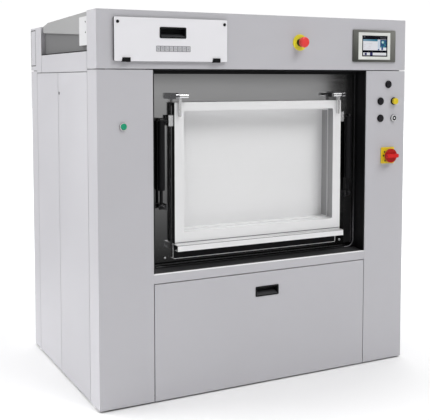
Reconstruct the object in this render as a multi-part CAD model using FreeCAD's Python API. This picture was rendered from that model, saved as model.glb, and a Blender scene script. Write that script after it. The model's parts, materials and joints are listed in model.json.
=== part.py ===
import FreeCAD, Part
import math
import os

from FreeCAD import Vector

os.makedirs("parts", exist_ok=True)

# Cabinet, in millimetres: x to the right, y away from the loading side, z up, origin under the middle
cabinet_width = 1320.0
cabinet_depth = 855.0
cabinet_height = 1400.0
sheet = 2.0
seam = 3.0
floor_gap = 6.0
left_column_width = 206.0
right_column_width = 193.0
column_inner_return = 60.0
header_height = 202.0
header_lip = 20.0
front_return = 100.0
rear_return = 89.0
rear_header_return = 162.0
rear_drop = 25.0
end_groove_depth = 1.0
end_groove_width = 4.0
end_groove_edge = 2.0
end_groove_field = 74.0
end_groove_low = 18.0
end_groove_high = 8.0
side_split = 457.0
side_panel_drop = 214.0
bay_drop = 141.0
bay_inset = 16.0
bay_overlap = 9.5
roof_inset = 8.0
roof_wall_drop_front = 84.0
roof_wall_drop_rear = 50.0
roof_wall_bend_drop = 12.0
roof_wall_bend_from_rear = 237.5
roof_wall_step = 1.0
roof_step = 4.0
gland_bore = 20.4
gland_wall = 6.0
gland_length = 24.0
gland_x = 200.0
gland_y = 60.0

# Main frame
frame_bottom = 12.0
frame_set_back = 32.5
rail_height = 86.0
rail_width = 70.0
rail_wall = 5.0
cross_rail_width = 80.0
post_leg = 40.0
post_wall = 4.0
side_rail_height = 60.0
side_rail_leg = 36.0
side_rail_drop = 6.0
anchor_plate = 65.0
anchor_thickness = 8.0
anchor_hole = 14.0
foot_pad = 70.0
foot_pad_height = 6.0
foot_stem = 20.0
pedestal_radius = 32.0
pedestal_height = 92.0
mount_radius = 40.0
mount_height = 42.0

# Loading opening
sill_top = 470.0
lip_height = 35.5
lip_depth = 14.0
lip_under = 20.0
liner_wall = 5.0
sill_rise = 6.0
plate_set_back = 70.0
plate_thickness = 3.0
trim_width = 6.0
trim_top = 12.0
trim_depth = 8.0
trim_corner = 28.0
seal_beside = 20.0
seal_drop = 56.0
seal_above = 12.0
rim_wall = 2.0
rim_depth = 9.5
touch_gap = 0.3

# Door: a frame round a pan that is set back in two steps
door_side_gap = 97.5
door_above_sill = 92.0
door_below_header = 119.0
door_set_back = 35.0
door_sheet = 2.0
door_edge = 25.5
door_corner = 4.0
door_stile = 37.0
door_top_rail = 32.0
door_bottom_rail = 44.0
recess_first = 34.0
recess_second = 37.0
recess_step = 4.0
recess_corner = 6.0
plug_clearance = 10.0
groove_above = 4.0
groove_height = 3.0
groove_depth = 1.0
handle_height = 22.0
handle_depth = 26.0

# Door hinge arms and their brackets
hinge_above_door = 22.5
hinge_set_back = 21.0
hub_radius = 7.5
hub_length = 29.0
pin_radius = 4.0
running_fit = 0.05
arm_inset = 18.0
arm_top_width = 12.0
arm_tip_width = 8.0
arm_length = 72.0
arm_thickness = 12.0
bracket_width = 13.0
bracket_height = 22.0
bracket_gap = 3.0

# Gas struts
strut_beside_door = 47.0
strut_set_back = 49.5
strut_below_door_top = 66.0
strut_pin_distance = 311.0
strut_radius = 14.0
strut_rod_radius = 6.0
strut_body_above_pin = 60.0
strut_cap = 36.0
strut_rod_gap = 20.0
eye_radius = 11.0
eye_width = 12.0
strut_bracket_width = 6.0
strut_bracket_gap = 8.0
strut_bracket_height = 24.0
pin_head = 2.0
lug_width = 20.0
lug_height = 39.0
lug_thickness = 4.0
lug_gap = 0.5

# Lower service panel
panel_flange = 14.0
pivot_depth = 12.0
pivot_height = 24.0
pivot_boss = 8.0
pivot_inset = 40.0
pivot_ear = 6.0

# Flush pulls
pull_width = 102.0
pull_height = 39.0
pull_lip = 4.0
pull_proud = 2.0
pull_depth = 28.0
pull_wall = 2.0
panel_pull_x = 12.0
panel_pull_below = 53.5

# Detergent dispenser
flap_left = 60.0
flap_width = 433.0
flap_height = 150.0
flap_top_margin = 26.0
flap_proud = 11.0
flap_back_gap = 1.0
flap_pull_x = 218.5
flap_pull_below = 50.0
hopper_margin = 17.0
hopper_depth = 124.0
hopper_wall = 2.0
hopper_front_lip = 58.0
hopper_bins = 4
hopper_divider = 62.0
flap_hinge_width = 29.0
flap_hinge_inset = 29.0
flap_knuckle = 5.5
flap_hinge_pin = 3.0
flap_hinge_proud = 6.0
flap_pivot_rise = 2.5
flap_leaf_height = 12.0
flap_leaf = 4.0
flap_notch_gap = 1.0

# Touch panel
hmi_from_side = 158.5
hmi_below_top = 106.5
hmi_width = 209.0
hmi_height = 127.0
hmi_proud = 6.0
hmi_window_width = 158.0
hmi_window_height = 108.0
hmi_depth = 50.0
hmi_recess = 1.0

# Push-buttons, key switch and main switch
bezel_radius = 15.0
bezel_proud = 4.5
cap_radius = 11.0
sleeve_radius = 13.0
sleeve_length = 18.0
cap_gap = 0.3
cap_proud = 2.5
yellow_cap_proud = 12.0
stem_radius = 8.0
stem_length = 26.0
button_left_from_side = 122.0
button_right_from_side = 55.0
button_upper_from_side = 84.0
button_upper_drop = 54.0
button_middle_drop = 122.0
button_lower_drop = 191.0
green_from_side = 95.0
green_drop = 196.5
key_slot_width = 2.0
key_slot_height = 12.0
key_slot_depth = 3.0
switch_from_side = 84.0
switch_drop = 342.0
switch_plate = 66.0
switch_plate_proud = 4.0
knob_radius = 28.0
knob_neck_radius = 15.0
knob_neck = 16.0
knob_disc = 8.0
knob_grip_width = 15.0
knob_grip_height = 11.5
knob_shaft = 4.0
knob_shaft_length = 20.0

# Emergency stops
estop_x = 151.0
estop_below_top = 99.0
estop_disc_radius = 31.0
estop_disc = 3.0
estop_neck_radius = 15.0
estop_neck = 13.0
estop_stem_radius = 10.7
estop_head_radius = 20.0
estop_head = 18.0
estop_proud = 40.0
estop_stem_inside = 25.0

# Tub and drum, on an axis along x
axis_height = 824.0
drum_beyond_door = 37.0
drum_shell = 3.0
drum_end = 4.0
drum_hub_radius = 90.0
drum_hub = 16.0
lifter_height = 60.0
lifter_base = 80.0
lifter_count = 3
shaft_radius = 30.0
shaft_left_length = 190.0
shaft_right_length = 120.0
tub_gap = 30.0
tub_plate_gap = 16.5
tub_shell = 3.0
tub_end = 8.0
tub_end_gap = 15.0
neck_wall = 3.0
tub_leg_y = 200.0
tub_leg_width = 80.0
tub_leg_thickness = 20.0
tub_leg_height = 400.0
tub_foot = 80.0
tub_foot_thickness = 8.0
drain_radius = 38.0
drain_wall = 3.0
drain_neck = 50.0
bearing_flange_radius = 85.0
bearing_flange = 10.0
bearing_boss_radius = 55.0
bearing_boss = 50.0
drum_door_half_angle = 33.0
drum_door_width = 556.0
drum_door_gap = 2.0
drum_door_lap = 0.6
drum_door_web = 1.0
drum_pivot_inset = 12.0
drum_knuckle = 6.0
drum_lug = 10.0
drum_lug_angle = 10.0

# Drive
pulley_radius = 180.0
pulley_width = 36.0
pulley_rim = 15.0
pulley_hub_radius = 50.0
pulley_pocket = 12.0
pulley_end_gap = 12.0
belt_width = 30.0
belt_thickness = 8.0
motor_pulley_radius = 40.0
motor_z = 250.0
motor_x = -400.0
motor_radius = 85.0
motor_length = 270.0
motor_shaft_radius = 14.0
motor_shaft_inside = 60.0
motor_foot_length = 110.0
motor_foot_width = 160.0

# Water
valve_x = 330.0
valve_spacing = 90.0
valve_y = 60.0
valve_body = 50.0
valve_body_height = 52.0
valve_stub_radius = 13.2
valve_stub_length = 15.0
valve_neck_radius = 12.0
valve_stub_gap = 0.5
valve_below_roof = 24.0
drain_body_radius = 60.0
drain_body_height = 110.0
drain_actuator = 90.0
drain_outlet_bottom = 30.0

# Places that follow from these sizes
left = -cabinet_width / 2
right = cabinet_width / 2
front = -cabinet_depth / 2
rear = cabinet_depth / 2
open_left = left + left_column_width
open_right = right - right_column_width
header_bottom = cabinet_height - header_height
rear_top = cabinet_height - rear_drop
column_top = header_bottom - seam
side_panel_top = cabinet_height - side_panel_drop
bay_floor = cabinet_height - bay_drop
lip_bottom = sill_top - lip_height
rail_top = frame_bottom + rail_height
side_rail_top = side_panel_top - side_rail_drop + side_rail_height
frame_x = cabinet_width / 2 - sheet
frame_y = cabinet_depth / 2 - frame_set_back
plate_y = front + plate_set_back
plate_back = plate_y + plate_thickness
clear_left = open_left + liner_wall
clear_right = open_right - liner_wall
clear_top = header_bottom - liner_wall
plate_bottom = sill_top + sill_rise
door_left = open_left + door_side_gap
door_right = open_right - door_side_gap
door_x = (door_left + door_right) / 2
door_bottom = sill_top + door_above_sill
door_top = header_bottom - door_below_header
door_y = front + door_set_back
recess_left = door_left + door_stile
recess_right = door_right - door_stile
recess_low = door_bottom + door_bottom_rail
recess_high = door_top - door_top_rail
mouth_left = recess_left - door_sheet - plug_clearance
mouth_right = recess_right + door_sheet + plug_clearance
mouth_low = recess_low - door_sheet - plug_clearance
mouth_high = recess_high + door_sheet + plug_clearance
seal_left = mouth_left - seal_beside
seal_right = mouth_right + seal_beside
seal_low = door_bottom - seal_drop
seal_high = mouth_high + seal_above
hinge_y = front + hinge_set_back
hinge_z = door_top + hinge_above_door
arm_x = door_left + arm_inset
strut_x = door_left - strut_beside_door
strut_y = front + strut_set_back
strut_top_pin = door_top - strut_below_door_top
strut_low_pin = strut_top_pin - strut_pin_distance
strut_body_low = strut_low_pin + strut_body_above_pin
strut_bore_top = strut_top_pin - strut_cap
flap_x0 = left + flap_left
flap_x1 = flap_x0 + flap_width
flap_high = cabinet_height - flap_top_margin
flap_low = flap_high - flap_height
flap_front = front - flap_proud
hopper_x0 = flap_x0 + hopper_margin
hopper_x1 = flap_x1 - hopper_margin
hopper_low = flap_low + hopper_margin
hopper_high = flap_high - hopper_margin
flap_pivot_y = front - flap_hinge_proud
flap_pivot_z = flap_low + flap_pivot_rise
pivot_y = front + pivot_depth
hmi_x = right - hmi_from_side
hmi_z = cabinet_height - hmi_below_top
button_left_x = right - button_left_from_side
button_right_x = right - button_right_from_side
button_upper_x = right - button_upper_from_side
button_upper_z = column_top - button_upper_drop
button_middle_z = column_top - button_middle_drop
button_lower_z = column_top - button_lower_drop
green_x = left + green_from_side
green_z = column_top - green_drop
switch_x = right - switch_from_side
switch_z = column_top - switch_drop
estop_z = cabinet_height - estop_below_top
drum_length = door_right - door_left + 2 * drum_beyond_door
tub_radius = -plate_back - tub_plate_gap - tub_shell
drum_radius = tub_radius - tub_gap
tub_half = drum_length / 2 + tub_end_gap
tub_outer_half = tub_half + tub_end
mount_x = tub_outer_half + tub_leg_thickness / 2
drum_pivot_radius = drum_radius - drum_pivot_inset
belt_x = -drum_length / 2 - shaft_left_length + pulley_end_gap + pulley_width / 2
roof_front_y = front + front_return
roof_rear_y = rear - rear_header_return
roof_front_z = cabinet_height - roof_step
roof_rear_z = rear_top - roof_step
roof_wall_low_front = cabinet_height - roof_wall_drop_front
roof_wall_low_rear = cabinet_height - roof_wall_drop_rear
roof_wall_bend_y = rear - roof_wall_bend_from_rear


def block(x, y, z):
    """A box between a low and a high limit on each axis."""
    return Part.makeBox(x[1] - x[0], y[1] - y[0], z[1] - z[0], Vector(x[0], y[0], z[0]))


def rod_x(ends, y, z, radius):
    return Part.makeCylinder(radius, ends[1] - ends[0], Vector(ends[0], y, z), Vector(1, 0, 0))


def rod_y(x, ends, z, radius):
    return Part.makeCylinder(radius, ends[1] - ends[0], Vector(x, ends[0], z), Vector(0, 1, 0))


def rod_z(x, y, ends, radius):
    return Part.makeCylinder(radius, ends[1] - ends[0], Vector(x, y, ends[0]), Vector(0, 0, 1))


def rounded(x, y, z, radius):
    """A box whose four edges along y are rounded."""
    solid = block(x, y, z)
    along = [edge for edge in solid.Edges if abs(edge.tangentAt(edge.FirstParameter).y) > 0.99]
    return solid.makeFillet(radius, along)


def prism_x(points, x):
    """A prism along x from points given as (y, z)."""
    corners = [Vector(x[0], y, z) for y, z in points]
    face = Part.Face(Part.makePolygon(corners + corners[:1]))
    return face.extrude(Vector(x[1] - x[0], 0, 0))


def to_rear(shape):
    return shape.mirror(Vector(0, 0, 0), Vector(0, 1, 0))


def to_right(shape):
    """The same piece on the other side of the cabinet."""
    return shape.mirror(Vector(0, 0, 0), Vector(1, 0, 0))


def across_door(shape):
    """The same piece at the door's other edge."""
    return shape.mirror(Vector(door_x, 0, 0), Vector(1, 0, 0))


def joined(shapes):
    whole = shapes[0]
    for shape in shapes[1:]:
        whole = whole.fuse(shape)
    return whole.removeSplitter()


def save(node, *solids):
    shape = solids[0] if len(solids) == 1 else Part.makeCompound(list(solids))
    shape.exportStep("parts/" + node + ".step")


# Main frame, feet and tub mounts

def base_ring():
    """Channels round the floor, open below."""
    z = (frame_bottom, rail_top)
    ring = block((-frame_x, frame_x), (-frame_y, frame_y), z)
    inner_x = frame_x - rail_width
    inner_y = frame_y - rail_width
    ring = ring.cut(block((-inner_x, inner_x), (-inner_y, inner_y), z))
    low = (frame_bottom, rail_top - rail_wall)
    wide_x = frame_x - rail_wall
    wide_y = frame_y - rail_wall
    hollow = block((-wide_x, wide_x), (-wide_y, wide_y), low)
    core_x = inner_x + rail_wall
    core_y = inner_y + rail_wall
    hollow = hollow.cut(block((-core_x, core_x), (-core_y, core_y), low))
    return ring.cut(hollow)


def cross_rail(x):
    half = cross_rail_width / 2
    reach = frame_y - rail_width
    rail = block((x - half, x + half), (-reach, reach), (frame_bottom, rail_top))
    web = half - rail_wall
    return rail.cut(block((x - web, x + web), (-reach, reach), (frame_bottom, rail_top - rail_wall)))


def corner_post(side_x, side_y):
    """An angle post; each side is -1 or 1."""
    x = sorted((side_x * frame_x, side_x * (frame_x - post_leg)))
    y = sorted((side_y * frame_y, side_y * (frame_y - post_leg)))
    inner_x = sorted((side_x * (frame_x - post_wall), side_x * (frame_x - post_leg)))
    inner_y = sorted((side_y * (frame_y - post_wall), side_y * (frame_y - post_leg)))
    z = (rail_top, rear_top - sheet - seam)
    return block(x, y, z).cut(block(inner_x, inner_y, z))


def side_rail(side_x):
    reach = frame_y - post_leg
    low = side_panel_top - side_rail_drop
    web = sorted((side_x * frame_x, side_x * (frame_x - post_wall)))
    leg = sorted((side_x * frame_x, side_x * (frame_x - side_rail_leg)))
    upright = block(web, (-reach, reach), (low, side_rail_top))
    return upright.fuse(block(leg, (-reach, reach), (side_rail_top - post_wall, side_rail_top)))


def anchor_lug(side_x, side_y):
    x0 = frame_x - rail_width
    y0 = frame_y - rail_width
    x = sorted((side_x * x0, side_x * (x0 - anchor_plate)))
    y = sorted((side_y * y0, side_y * (y0 - anchor_plate)))
    plate = block(x, y, (frame_bottom, frame_bottom + anchor_thickness))
    hole_x = side_x * (x0 - anchor_plate / 2)
    hole_y = side_y * (y0 - anchor_plate / 2)
    return plate.cut(rod_z(hole_x, hole_y, (frame_bottom, frame_bottom + anchor_thickness), anchor_hole / 2))


def panel_pivot_ear(x):
    """Carries one pivot pin of the lower service panel."""
    ends = (x - pivot_ear, x + pivot_ear)
    ear = rod_x(ends, pivot_y, pivot_height, pivot_boss)
    web = block(ends, (pivot_y, -frame_y), (pivot_height - pivot_boss, pivot_height + pivot_boss))
    return ear.fuse(web).cut(rod_x(ends, pivot_y, pivot_height, pin_radius + running_fit))


def panel_pivot_places():
    return (open_left + pivot_inset, open_right - pivot_inset)


def main_frame():
    pieces = [base_ring()]
    motor_rail_x = motor_x + motor_length / 2
    pieces += [cross_rail(x) for x in (-mount_x, motor_rail_x, mount_x)]
    for side_x in (-1, 1):
        pieces.append(side_rail(side_x))
        for side_y in (-1, 1):
            pieces.append(corner_post(side_x, side_y))
            pieces.append(anchor_lug(side_x, side_y))
            pedestal = (rail_top, rail_top + pedestal_height)
            pieces.append(rod_z(side_x * mount_x, side_y * tub_leg_y, pedestal, pedestal_radius))
    pieces += [panel_pivot_ear(x) for x in panel_pivot_places()]
    return joined(pieces)


def levelling_feet():
    feet = []
    for side_x in (-1, 1):
        for side_y in (-1, 1):
            x = side_x * (frame_x - rail_width / 2)
            y = side_y * (frame_y - rail_width / 2)
            pad = rod_z(x, y, (0, foot_pad_height), foot_pad / 2)
            feet.append(pad.fuse(rod_z(x, y, (foot_pad_height, rail_top - rail_wall), foot_stem / 2)))
    return feet


def tub_mounts():
    low = rail_top + pedestal_height
    ends = (low, low + mount_height)
    return [rod_z(x, y, ends, mount_radius) for x in (-mount_x, mount_x) for y in (-tub_leg_y, tub_leg_y)]


# Cabinet sheets; the rear ones are made at the front and mirrored

def column(outer, inner, return_depth):
    """A folded column from the cabinet's side to the opening."""
    x = sorted((outer, inner))
    z = (floor_gap, column_top)
    shell = block(x, (front, front + return_depth), z)
    shell = shell.cut(block((x[0] + sheet, x[1] - sheet), (front + sheet, front + return_depth), z))
    step = sheet if inner > outer else -sheet
    spare = sorted((inner - step, inner))
    shell = shell.cut(block(spare, (front + column_inner_return, front + return_depth), z))
    return shell.cut(block(spare, (-frame_y, front + return_depth), (floor_gap, rail_top)))


def header(top, return_depth):
    shell = block((left, right), (front, front + return_depth), (header_bottom, top))
    inside = (left + sheet, right - sheet)
    shell = shell.cut(block(inside, (front + sheet, front + return_depth), (header_bottom, top - sheet)))
    lip = block(inside, (front + sheet, front + header_lip), (header_bottom, header_bottom + sheet))
    return shell.fuse(lip).removeSplitter()


def through_front(x, z, radius):
    return rod_y(x, (front, front + sheet), z, radius)


def front_left_column():
    return column(left, open_left, front_return).cut(through_front(green_x, green_z, sleeve_radius))


def front_right_column():
    shell = column(right, open_right, front_return)
    for x, z in right_buttons().values():
        shell = shell.cut(through_front(x, z, sleeve_radius))
    return shell.cut(through_front(switch_x, switch_z, knob_shaft + cap_gap))


def front_header():
    shell = header(cabinet_height, front_return)
    shell = shell.cut(block((hopper_x0, hopper_x1), (front, front + sheet), (hopper_low, hopper_high)))
    shell = shell.cut(hmi_block((front, front + sheet), 0))
    return shell.cut(through_front(estop_x, estop_z, estop_stem_radius + cap_gap))


def header_end():
    """The left end's skirt and the flange that closes the bay's end."""
    skirt_y = (front + rear_return + seam, front + rear_header_return)
    skirt = block((left, left + sheet), skirt_y, (side_panel_top + seam, header_bottom))
    flange_y = (front + rear_header_return - sheet, front + rear_header_return)
    flange = block((left, left + bay_inset + sheet), flange_y, (bay_floor, rear_top - sheet))
    return skirt.fuse(flange)


def header_end_groove():
    """A shallow groove round a field in the header's left end."""
    x = (left, left + end_groove_depth)
    y = (front + end_groove_edge, front + end_groove_edge + end_groove_field)
    z = (header_bottom + end_groove_low, rear_top - end_groove_high)
    inner_y = (y[0] + end_groove_width, y[1] - end_groove_width)
    inner_z = (z[0] + end_groove_width, z[1] - end_groove_width)
    return block(x, y, z).cut(block(x, inner_y, inner_z))


def rear_header():
    shell = header(rear_top, rear_header_return)
    for one in (header_end(), to_right(header_end())):
        shell = shell.fuse(one)
    for one in (header_end_groove(), to_right(header_end_groove())):
        shell = shell.cut(one)
    shell = shell.cut(through_front(estop_x, estop_z, estop_stem_radius + cap_gap))
    return to_rear(shell.removeSplitter())


def rear_panels():
    """The clean side's two columns and the fixed panel between them, hooked on the frame's rail."""
    x = (open_left + seam, open_right - seam)
    lower = block(x, (front, front + sheet), (floor_gap, lip_bottom - seam))
    lower = lower.fuse(block(x, (front + sheet, -frame_y), (frame_bottom, frame_bottom + sheet)))
    columns = [column(left, open_left, rear_return), column(right, open_right, rear_return)]
    return [to_rear(one) for one in columns + [lower.removeSplitter()]]


def left_side_panels():
    x = (left, left + sheet)
    fore = (front + front_return + seam, front + side_split)
    aft = (front + side_split + seam, rear - rear_return - seam)
    upper = (front + front_return + seam, rear - rear_header_return - seam)
    tall = (floor_gap, side_panel_top)
    return [block(x, fore, tall), block(x, aft, tall), block(x, upper, (side_panel_top + seam, bay_floor))]


def left_bay_panel():
    """The grey sheet under the roof cover's edge, standing on the frame's side rail."""
    x0 = left + bay_inset
    y = (roof_front_y, roof_rear_y)
    top = roof_wall_low_rear + bay_overlap
    wall = block((x0, x0 + sheet), y, (side_rail_top, top))
    tab = block((left + roof_inset + sheet, x0 + sheet), y, (top - sheet, top))
    return wall.fuse(tab).removeSplitter()


def roof_z(y):
    """The height of the sloping roof's upper face."""
    share = (y - roof_front_y) / (roof_rear_y - roof_front_y)
    return roof_front_z + share * (roof_rear_z - roof_front_z)


def roof_cover():
    """A sloping sheet between two side walls that stand a little above it."""
    half = cabinet_width / 2 - roof_inset
    slope = [
        (roof_front_y, roof_front_z - sheet),
        (roof_rear_y, roof_rear_z - sheet),
        (roof_rear_y, roof_rear_z),
        (roof_front_y, roof_front_z),
    ]
    wall = [
        (roof_front_y, roof_wall_low_front),
        (roof_rear_y, roof_wall_low_rear),
        (roof_rear_y, rear_top),
        (roof_wall_bend_y, cabinet_height - roof_wall_bend_drop),
        (roof_front_y, cabinet_height - roof_wall_step),
    ]
    left_wall = prism_x(wall, (-half, -half + sheet))
    cover = joined([prism_x(slope, (-half, half)), left_wall, to_right(left_wall)])
    top = roof_front_z
    collar = rod_z(gland_x, gland_y, (top - gland_length, top), gland_bore / 2 + gland_wall)
    cover = cover.fuse(collar).cut(rod_z(gland_x, gland_y, (top - gland_length, top), gland_bore / 2))
    for x in valve_places():
        cover = cover.cut(rod_z(x, valve_y, (roof_wall_low_front, top), valve_stub_radius + valve_stub_gap))
    return cover


# Loading opening: sill lip, liner, trim, tub plate and seal

def sill():
    x = (open_left, open_right)
    face = block(x, (front, front + sheet), (lip_bottom, sill_top))
    top = block(x, (front, front + lip_depth), (sill_top - sheet, sill_top))
    under = block(x, (front, front + lip_under), (lip_bottom, lip_bottom + sheet))
    return joined([face, top, under])


def liner():
    """Black walls from the front edge to the tub plate, with a sloping sill."""
    y = (front + sheet, plate_y)
    walls = block((open_left, open_right), y, (sill_top, header_bottom))
    walls = walls.cut(block((clear_left, clear_right), y, (sill_top, clear_top)))
    slope = [
        (front + lip_depth, sill_top - liner_wall),
        (plate_y, sill_top - liner_wall),
        (plate_y, plate_bottom),
        (front + lip_depth, sill_top),
    ]
    return walls.fuse(prism_x(slope, (open_left, open_right))).removeSplitter()


def edge_trim():
    """A rubber frame on the tub plate, square at the top and rounded at its lower corners."""
    y = (plate_y - trim_depth, plate_y)
    ring = block((clear_left, clear_right), y, (plate_bottom, clear_top))
    inside_x = (clear_left + trim_width, clear_right - trim_width)
    inside_z = (plate_bottom + trim_width / 2, clear_top - trim_top)
    inside = block(inside_x, y, inside_z)
    along = [edge for edge in inside.Edges if abs(edge.tangentAt(edge.FirstParameter).y) > 0.99]
    lower = [edge for edge in along if edge.CenterOfMass.z < door_bottom]
    return ring.cut(inside.makeFillet(trim_corner, lower))


def tub_plate():
    """The polished sheet round the mouth, with the thin rim that holds the seal."""
    y = (plate_y, plate_back)
    plate = block((clear_left, clear_right), y, (plate_bottom, clear_top))
    rim_y = (plate_y - rim_depth, plate_y)
    outer_x = (seal_left - rim_wall, seal_right + rim_wall)
    rim = rounded(outer_x, rim_y, (seal_low - rim_wall, seal_high), recess_corner)
    rim = rim.cut(block((seal_left, seal_right), rim_y, (seal_low, seal_high)))
    return plate.fuse(rim).cut(block((mouth_left, mouth_right), y, (mouth_low, mouth_high)))


def door_seal():
    y = (door_y + door_edge + touch_gap, plate_y)
    seal = block((seal_left, seal_right), y, (seal_low, seal_high))
    return seal.cut(block((mouth_left, mouth_right), y, (mouth_low, mouth_high)))


# Door, handle, arms and struts, for the loading side

def door():
    edge_y = (door_y, door_y + door_edge)
    frame = rounded((door_left, door_right), edge_y, (door_bottom, door_top), door_corner)
    behind = (door_y + door_sheet, door_y + door_edge)
    inside_x = (door_left + door_sheet, door_right - door_sheet)
    frame = frame.cut(block(inside_x, behind, (door_bottom + door_sheet, door_top - door_sheet)))
    first_y = (door_y, door_y + recess_first)
    second_y = (door_y + recess_first, door_y + recess_first + recess_second)
    first_x = (recess_left, recess_right)
    first_z = (recess_low, recess_high)
    second_x = (recess_left + recess_step, recess_right - recess_step)
    second_z = (recess_low + recess_step, recess_high - recess_step)
    pan = grown(first_x, first_y, first_z).fuse(grown(second_x, second_y, second_z))
    whole = frame.fuse(pan)
    whole = whole.cut(rounded(first_x, first_y, first_z, recess_corner))
    whole = whole.cut(rounded(second_x, second_y, second_z, recess_corner))
    low = door_bottom + groove_above
    groove = block((door_left, door_right), (door_y, door_y + groove_depth), (low, low + groove_height))
    return whole.cut(groove).removeSplitter()


def grown(x, y, z):
    """The outside of one step of the door's pan."""
    wider = (x[0] - door_sheet, x[1] + door_sheet)
    taller = (z[0] - door_sheet, z[1] + door_sheet)
    return rounded(wider, (y[0], y[1] + door_sheet), taller, recess_corner + door_sheet)


def door_handle():
    """A channel under the door, open towards the machine: a shelf, a face and a lower lip."""
    x = (door_left, door_right)
    face_y = door_y - handle_depth
    low = door_bottom - handle_height
    face = block(x, (face_y, face_y + door_sheet), (low, door_bottom))
    shelf = block(x, (face_y + door_sheet, door_y + door_edge), (door_bottom - door_sheet, door_bottom))
    lip = block(x, (face_y + door_sheet, door_y), (low, low + door_sheet))
    return [face, shelf, lip]


def hinge_arm():
    """A tapered arm on the door's stile with the hub that turns on the bracket's pin."""
    face_y = door_y - arm_thickness
    tip_z = hinge_z - arm_length
    tip_r = arm_tip_width / 2
    top_r = arm_top_width / 2
    outline = Part.Wire(
        [
            Part.makeLine(Vector(arm_x - top_r, face_y, hinge_z), Vector(arm_x - tip_r, face_y, tip_z)),
            Part.Arc(
                Vector(arm_x - tip_r, face_y, tip_z),
                Vector(arm_x, face_y, tip_z - tip_r),
                Vector(arm_x + tip_r, face_y, tip_z),
            ).toShape(),
            Part.makeLine(Vector(arm_x + tip_r, face_y, tip_z), Vector(arm_x + top_r, face_y, hinge_z)),
            Part.makeLine(Vector(arm_x + top_r, face_y, hinge_z), Vector(arm_x - top_r, face_y, hinge_z)),
        ]
    )
    arm = Part.Face(outline).extrude(Vector(0, arm_thickness, 0))
    hub_ends = (arm_x - top_r, arm_x + hub_length)
    hub = rod_x(hub_ends, hinge_y, hinge_z, hub_radius)
    whole = arm.fuse(hub)
    return whole.cut(rod_x(hub_ends, hinge_y, hinge_z, pin_radius + running_fit)).removeSplitter()


def strut_lug():
    """The bright plate on the door's edge that the strut's upper pin reaches."""
    y = (strut_y - lug_thickness - pin_radius, strut_y - pin_radius)
    half = lug_height / 2
    return block((door_left - lug_width, door_left), y, (strut_top_pin - half, strut_top_pin + half))


def door_fittings():
    one_side = [hinge_arm(), strut_lug()]
    return one_side + [across_door(piece) for piece in one_side]


def hinge_bracket():
    """Stands on the tub plate beside the arm and holds the hinge pin."""
    x1 = arm_x - arm_top_width / 2 - bracket_gap
    x0 = x1 - bracket_width
    half = bracket_height / 2
    arm = block((x0, x1), (hinge_y, plate_y), (hinge_z - half, hinge_z + half))
    nose = rod_x((x0, x1), hinge_y, hinge_z, half)
    pin = rod_x((x1, arm_x + hub_length), hinge_y, hinge_z, pin_radius)
    return joined([arm, nose, pin])


def strut_bracket():
    x0 = strut_x + eye_width / 2 + strut_bracket_gap
    x1 = x0 + strut_bracket_width
    half = strut_bracket_height / 2
    plate = block((x0, x1), (strut_y - half, plate_y), (strut_low_pin - half, strut_low_pin + half))
    pin_ends = (strut_x - eye_width / 2 - pin_head, x0)
    return plate.fuse(rod_x(pin_ends, strut_y, strut_low_pin, pin_radius)).removeSplitter()


def door_brackets():
    one_side = [hinge_bracket(), strut_bracket()]
    both = one_side + [across_door(piece) for piece in one_side]
    return both + [to_rear(piece) for piece in both]


def strut_rod():
    eye_ends = (strut_x - eye_width / 2, strut_x + eye_width / 2)
    eye = rod_x(eye_ends, strut_y, strut_low_pin, eye_radius)
    rod_ends = (strut_low_pin, strut_bore_top - strut_rod_gap)
    rod = rod_z(strut_x, strut_y, rod_ends, strut_rod_radius)
    return eye.fuse(rod).cut(rod_x(eye_ends, strut_y, strut_low_pin, pin_radius + running_fit))


def strut_cylinder():
    eye_ends = (strut_x - eye_width / 2, strut_x + eye_width / 2)
    eye = rod_x(eye_ends, strut_y, strut_top_pin, eye_radius)
    body = rod_z(strut_x, strut_y, (strut_body_low, strut_top_pin), strut_radius)
    pin = rod_x((strut_x, door_left - lug_width - lug_gap), strut_y, strut_top_pin, pin_radius)
    bore = rod_z(strut_x, strut_y, (strut_body_low, strut_bore_top), strut_rod_radius + running_fit)
    return joined([body, eye, pin]).cut(bore)


def both_sides(piece):
    return [piece, across_door(piece)]


# Lower service panel and flush pulls

def pull_cup(x, z, face_y):
    """A flush pull: a lip on the sheet and a cup behind it with a sloping floor."""
    half = pull_width / 2
    tall = pull_height / 2
    lip = rounded((x - half, x + half), (face_y - pull_proud, face_y), (z - tall, z + tall), pull_lip)
    inner_half = half - pull_lip
    inner_tall = tall - pull_lip
    back = face_y + pull_depth
    cup = block((x - inner_half, x + inner_half), (face_y, back), (z - inner_tall, z + inner_tall))
    low = z - inner_tall + pull_wall
    high = z + inner_tall - pull_wall
    hollow = [
        (face_y - pull_proud, low),
        (face_y - pull_proud, high),
        (back - pull_wall, high),
        (back - pull_wall, z),
    ]
    inside = (x - inner_half + pull_wall, x + inner_half - pull_wall)
    return lip.fuse(cup).cut(prism_x(hollow, inside)).removeSplitter()


def pull_hole(x, z, y):
    half = pull_width / 2 - pull_lip
    tall = pull_height / 2 - pull_lip
    return block((x - half, x + half), y, (z - tall, z + tall))


def panel_pull_z():
    return lip_bottom - seam - panel_pull_below - pull_height / 2


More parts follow.
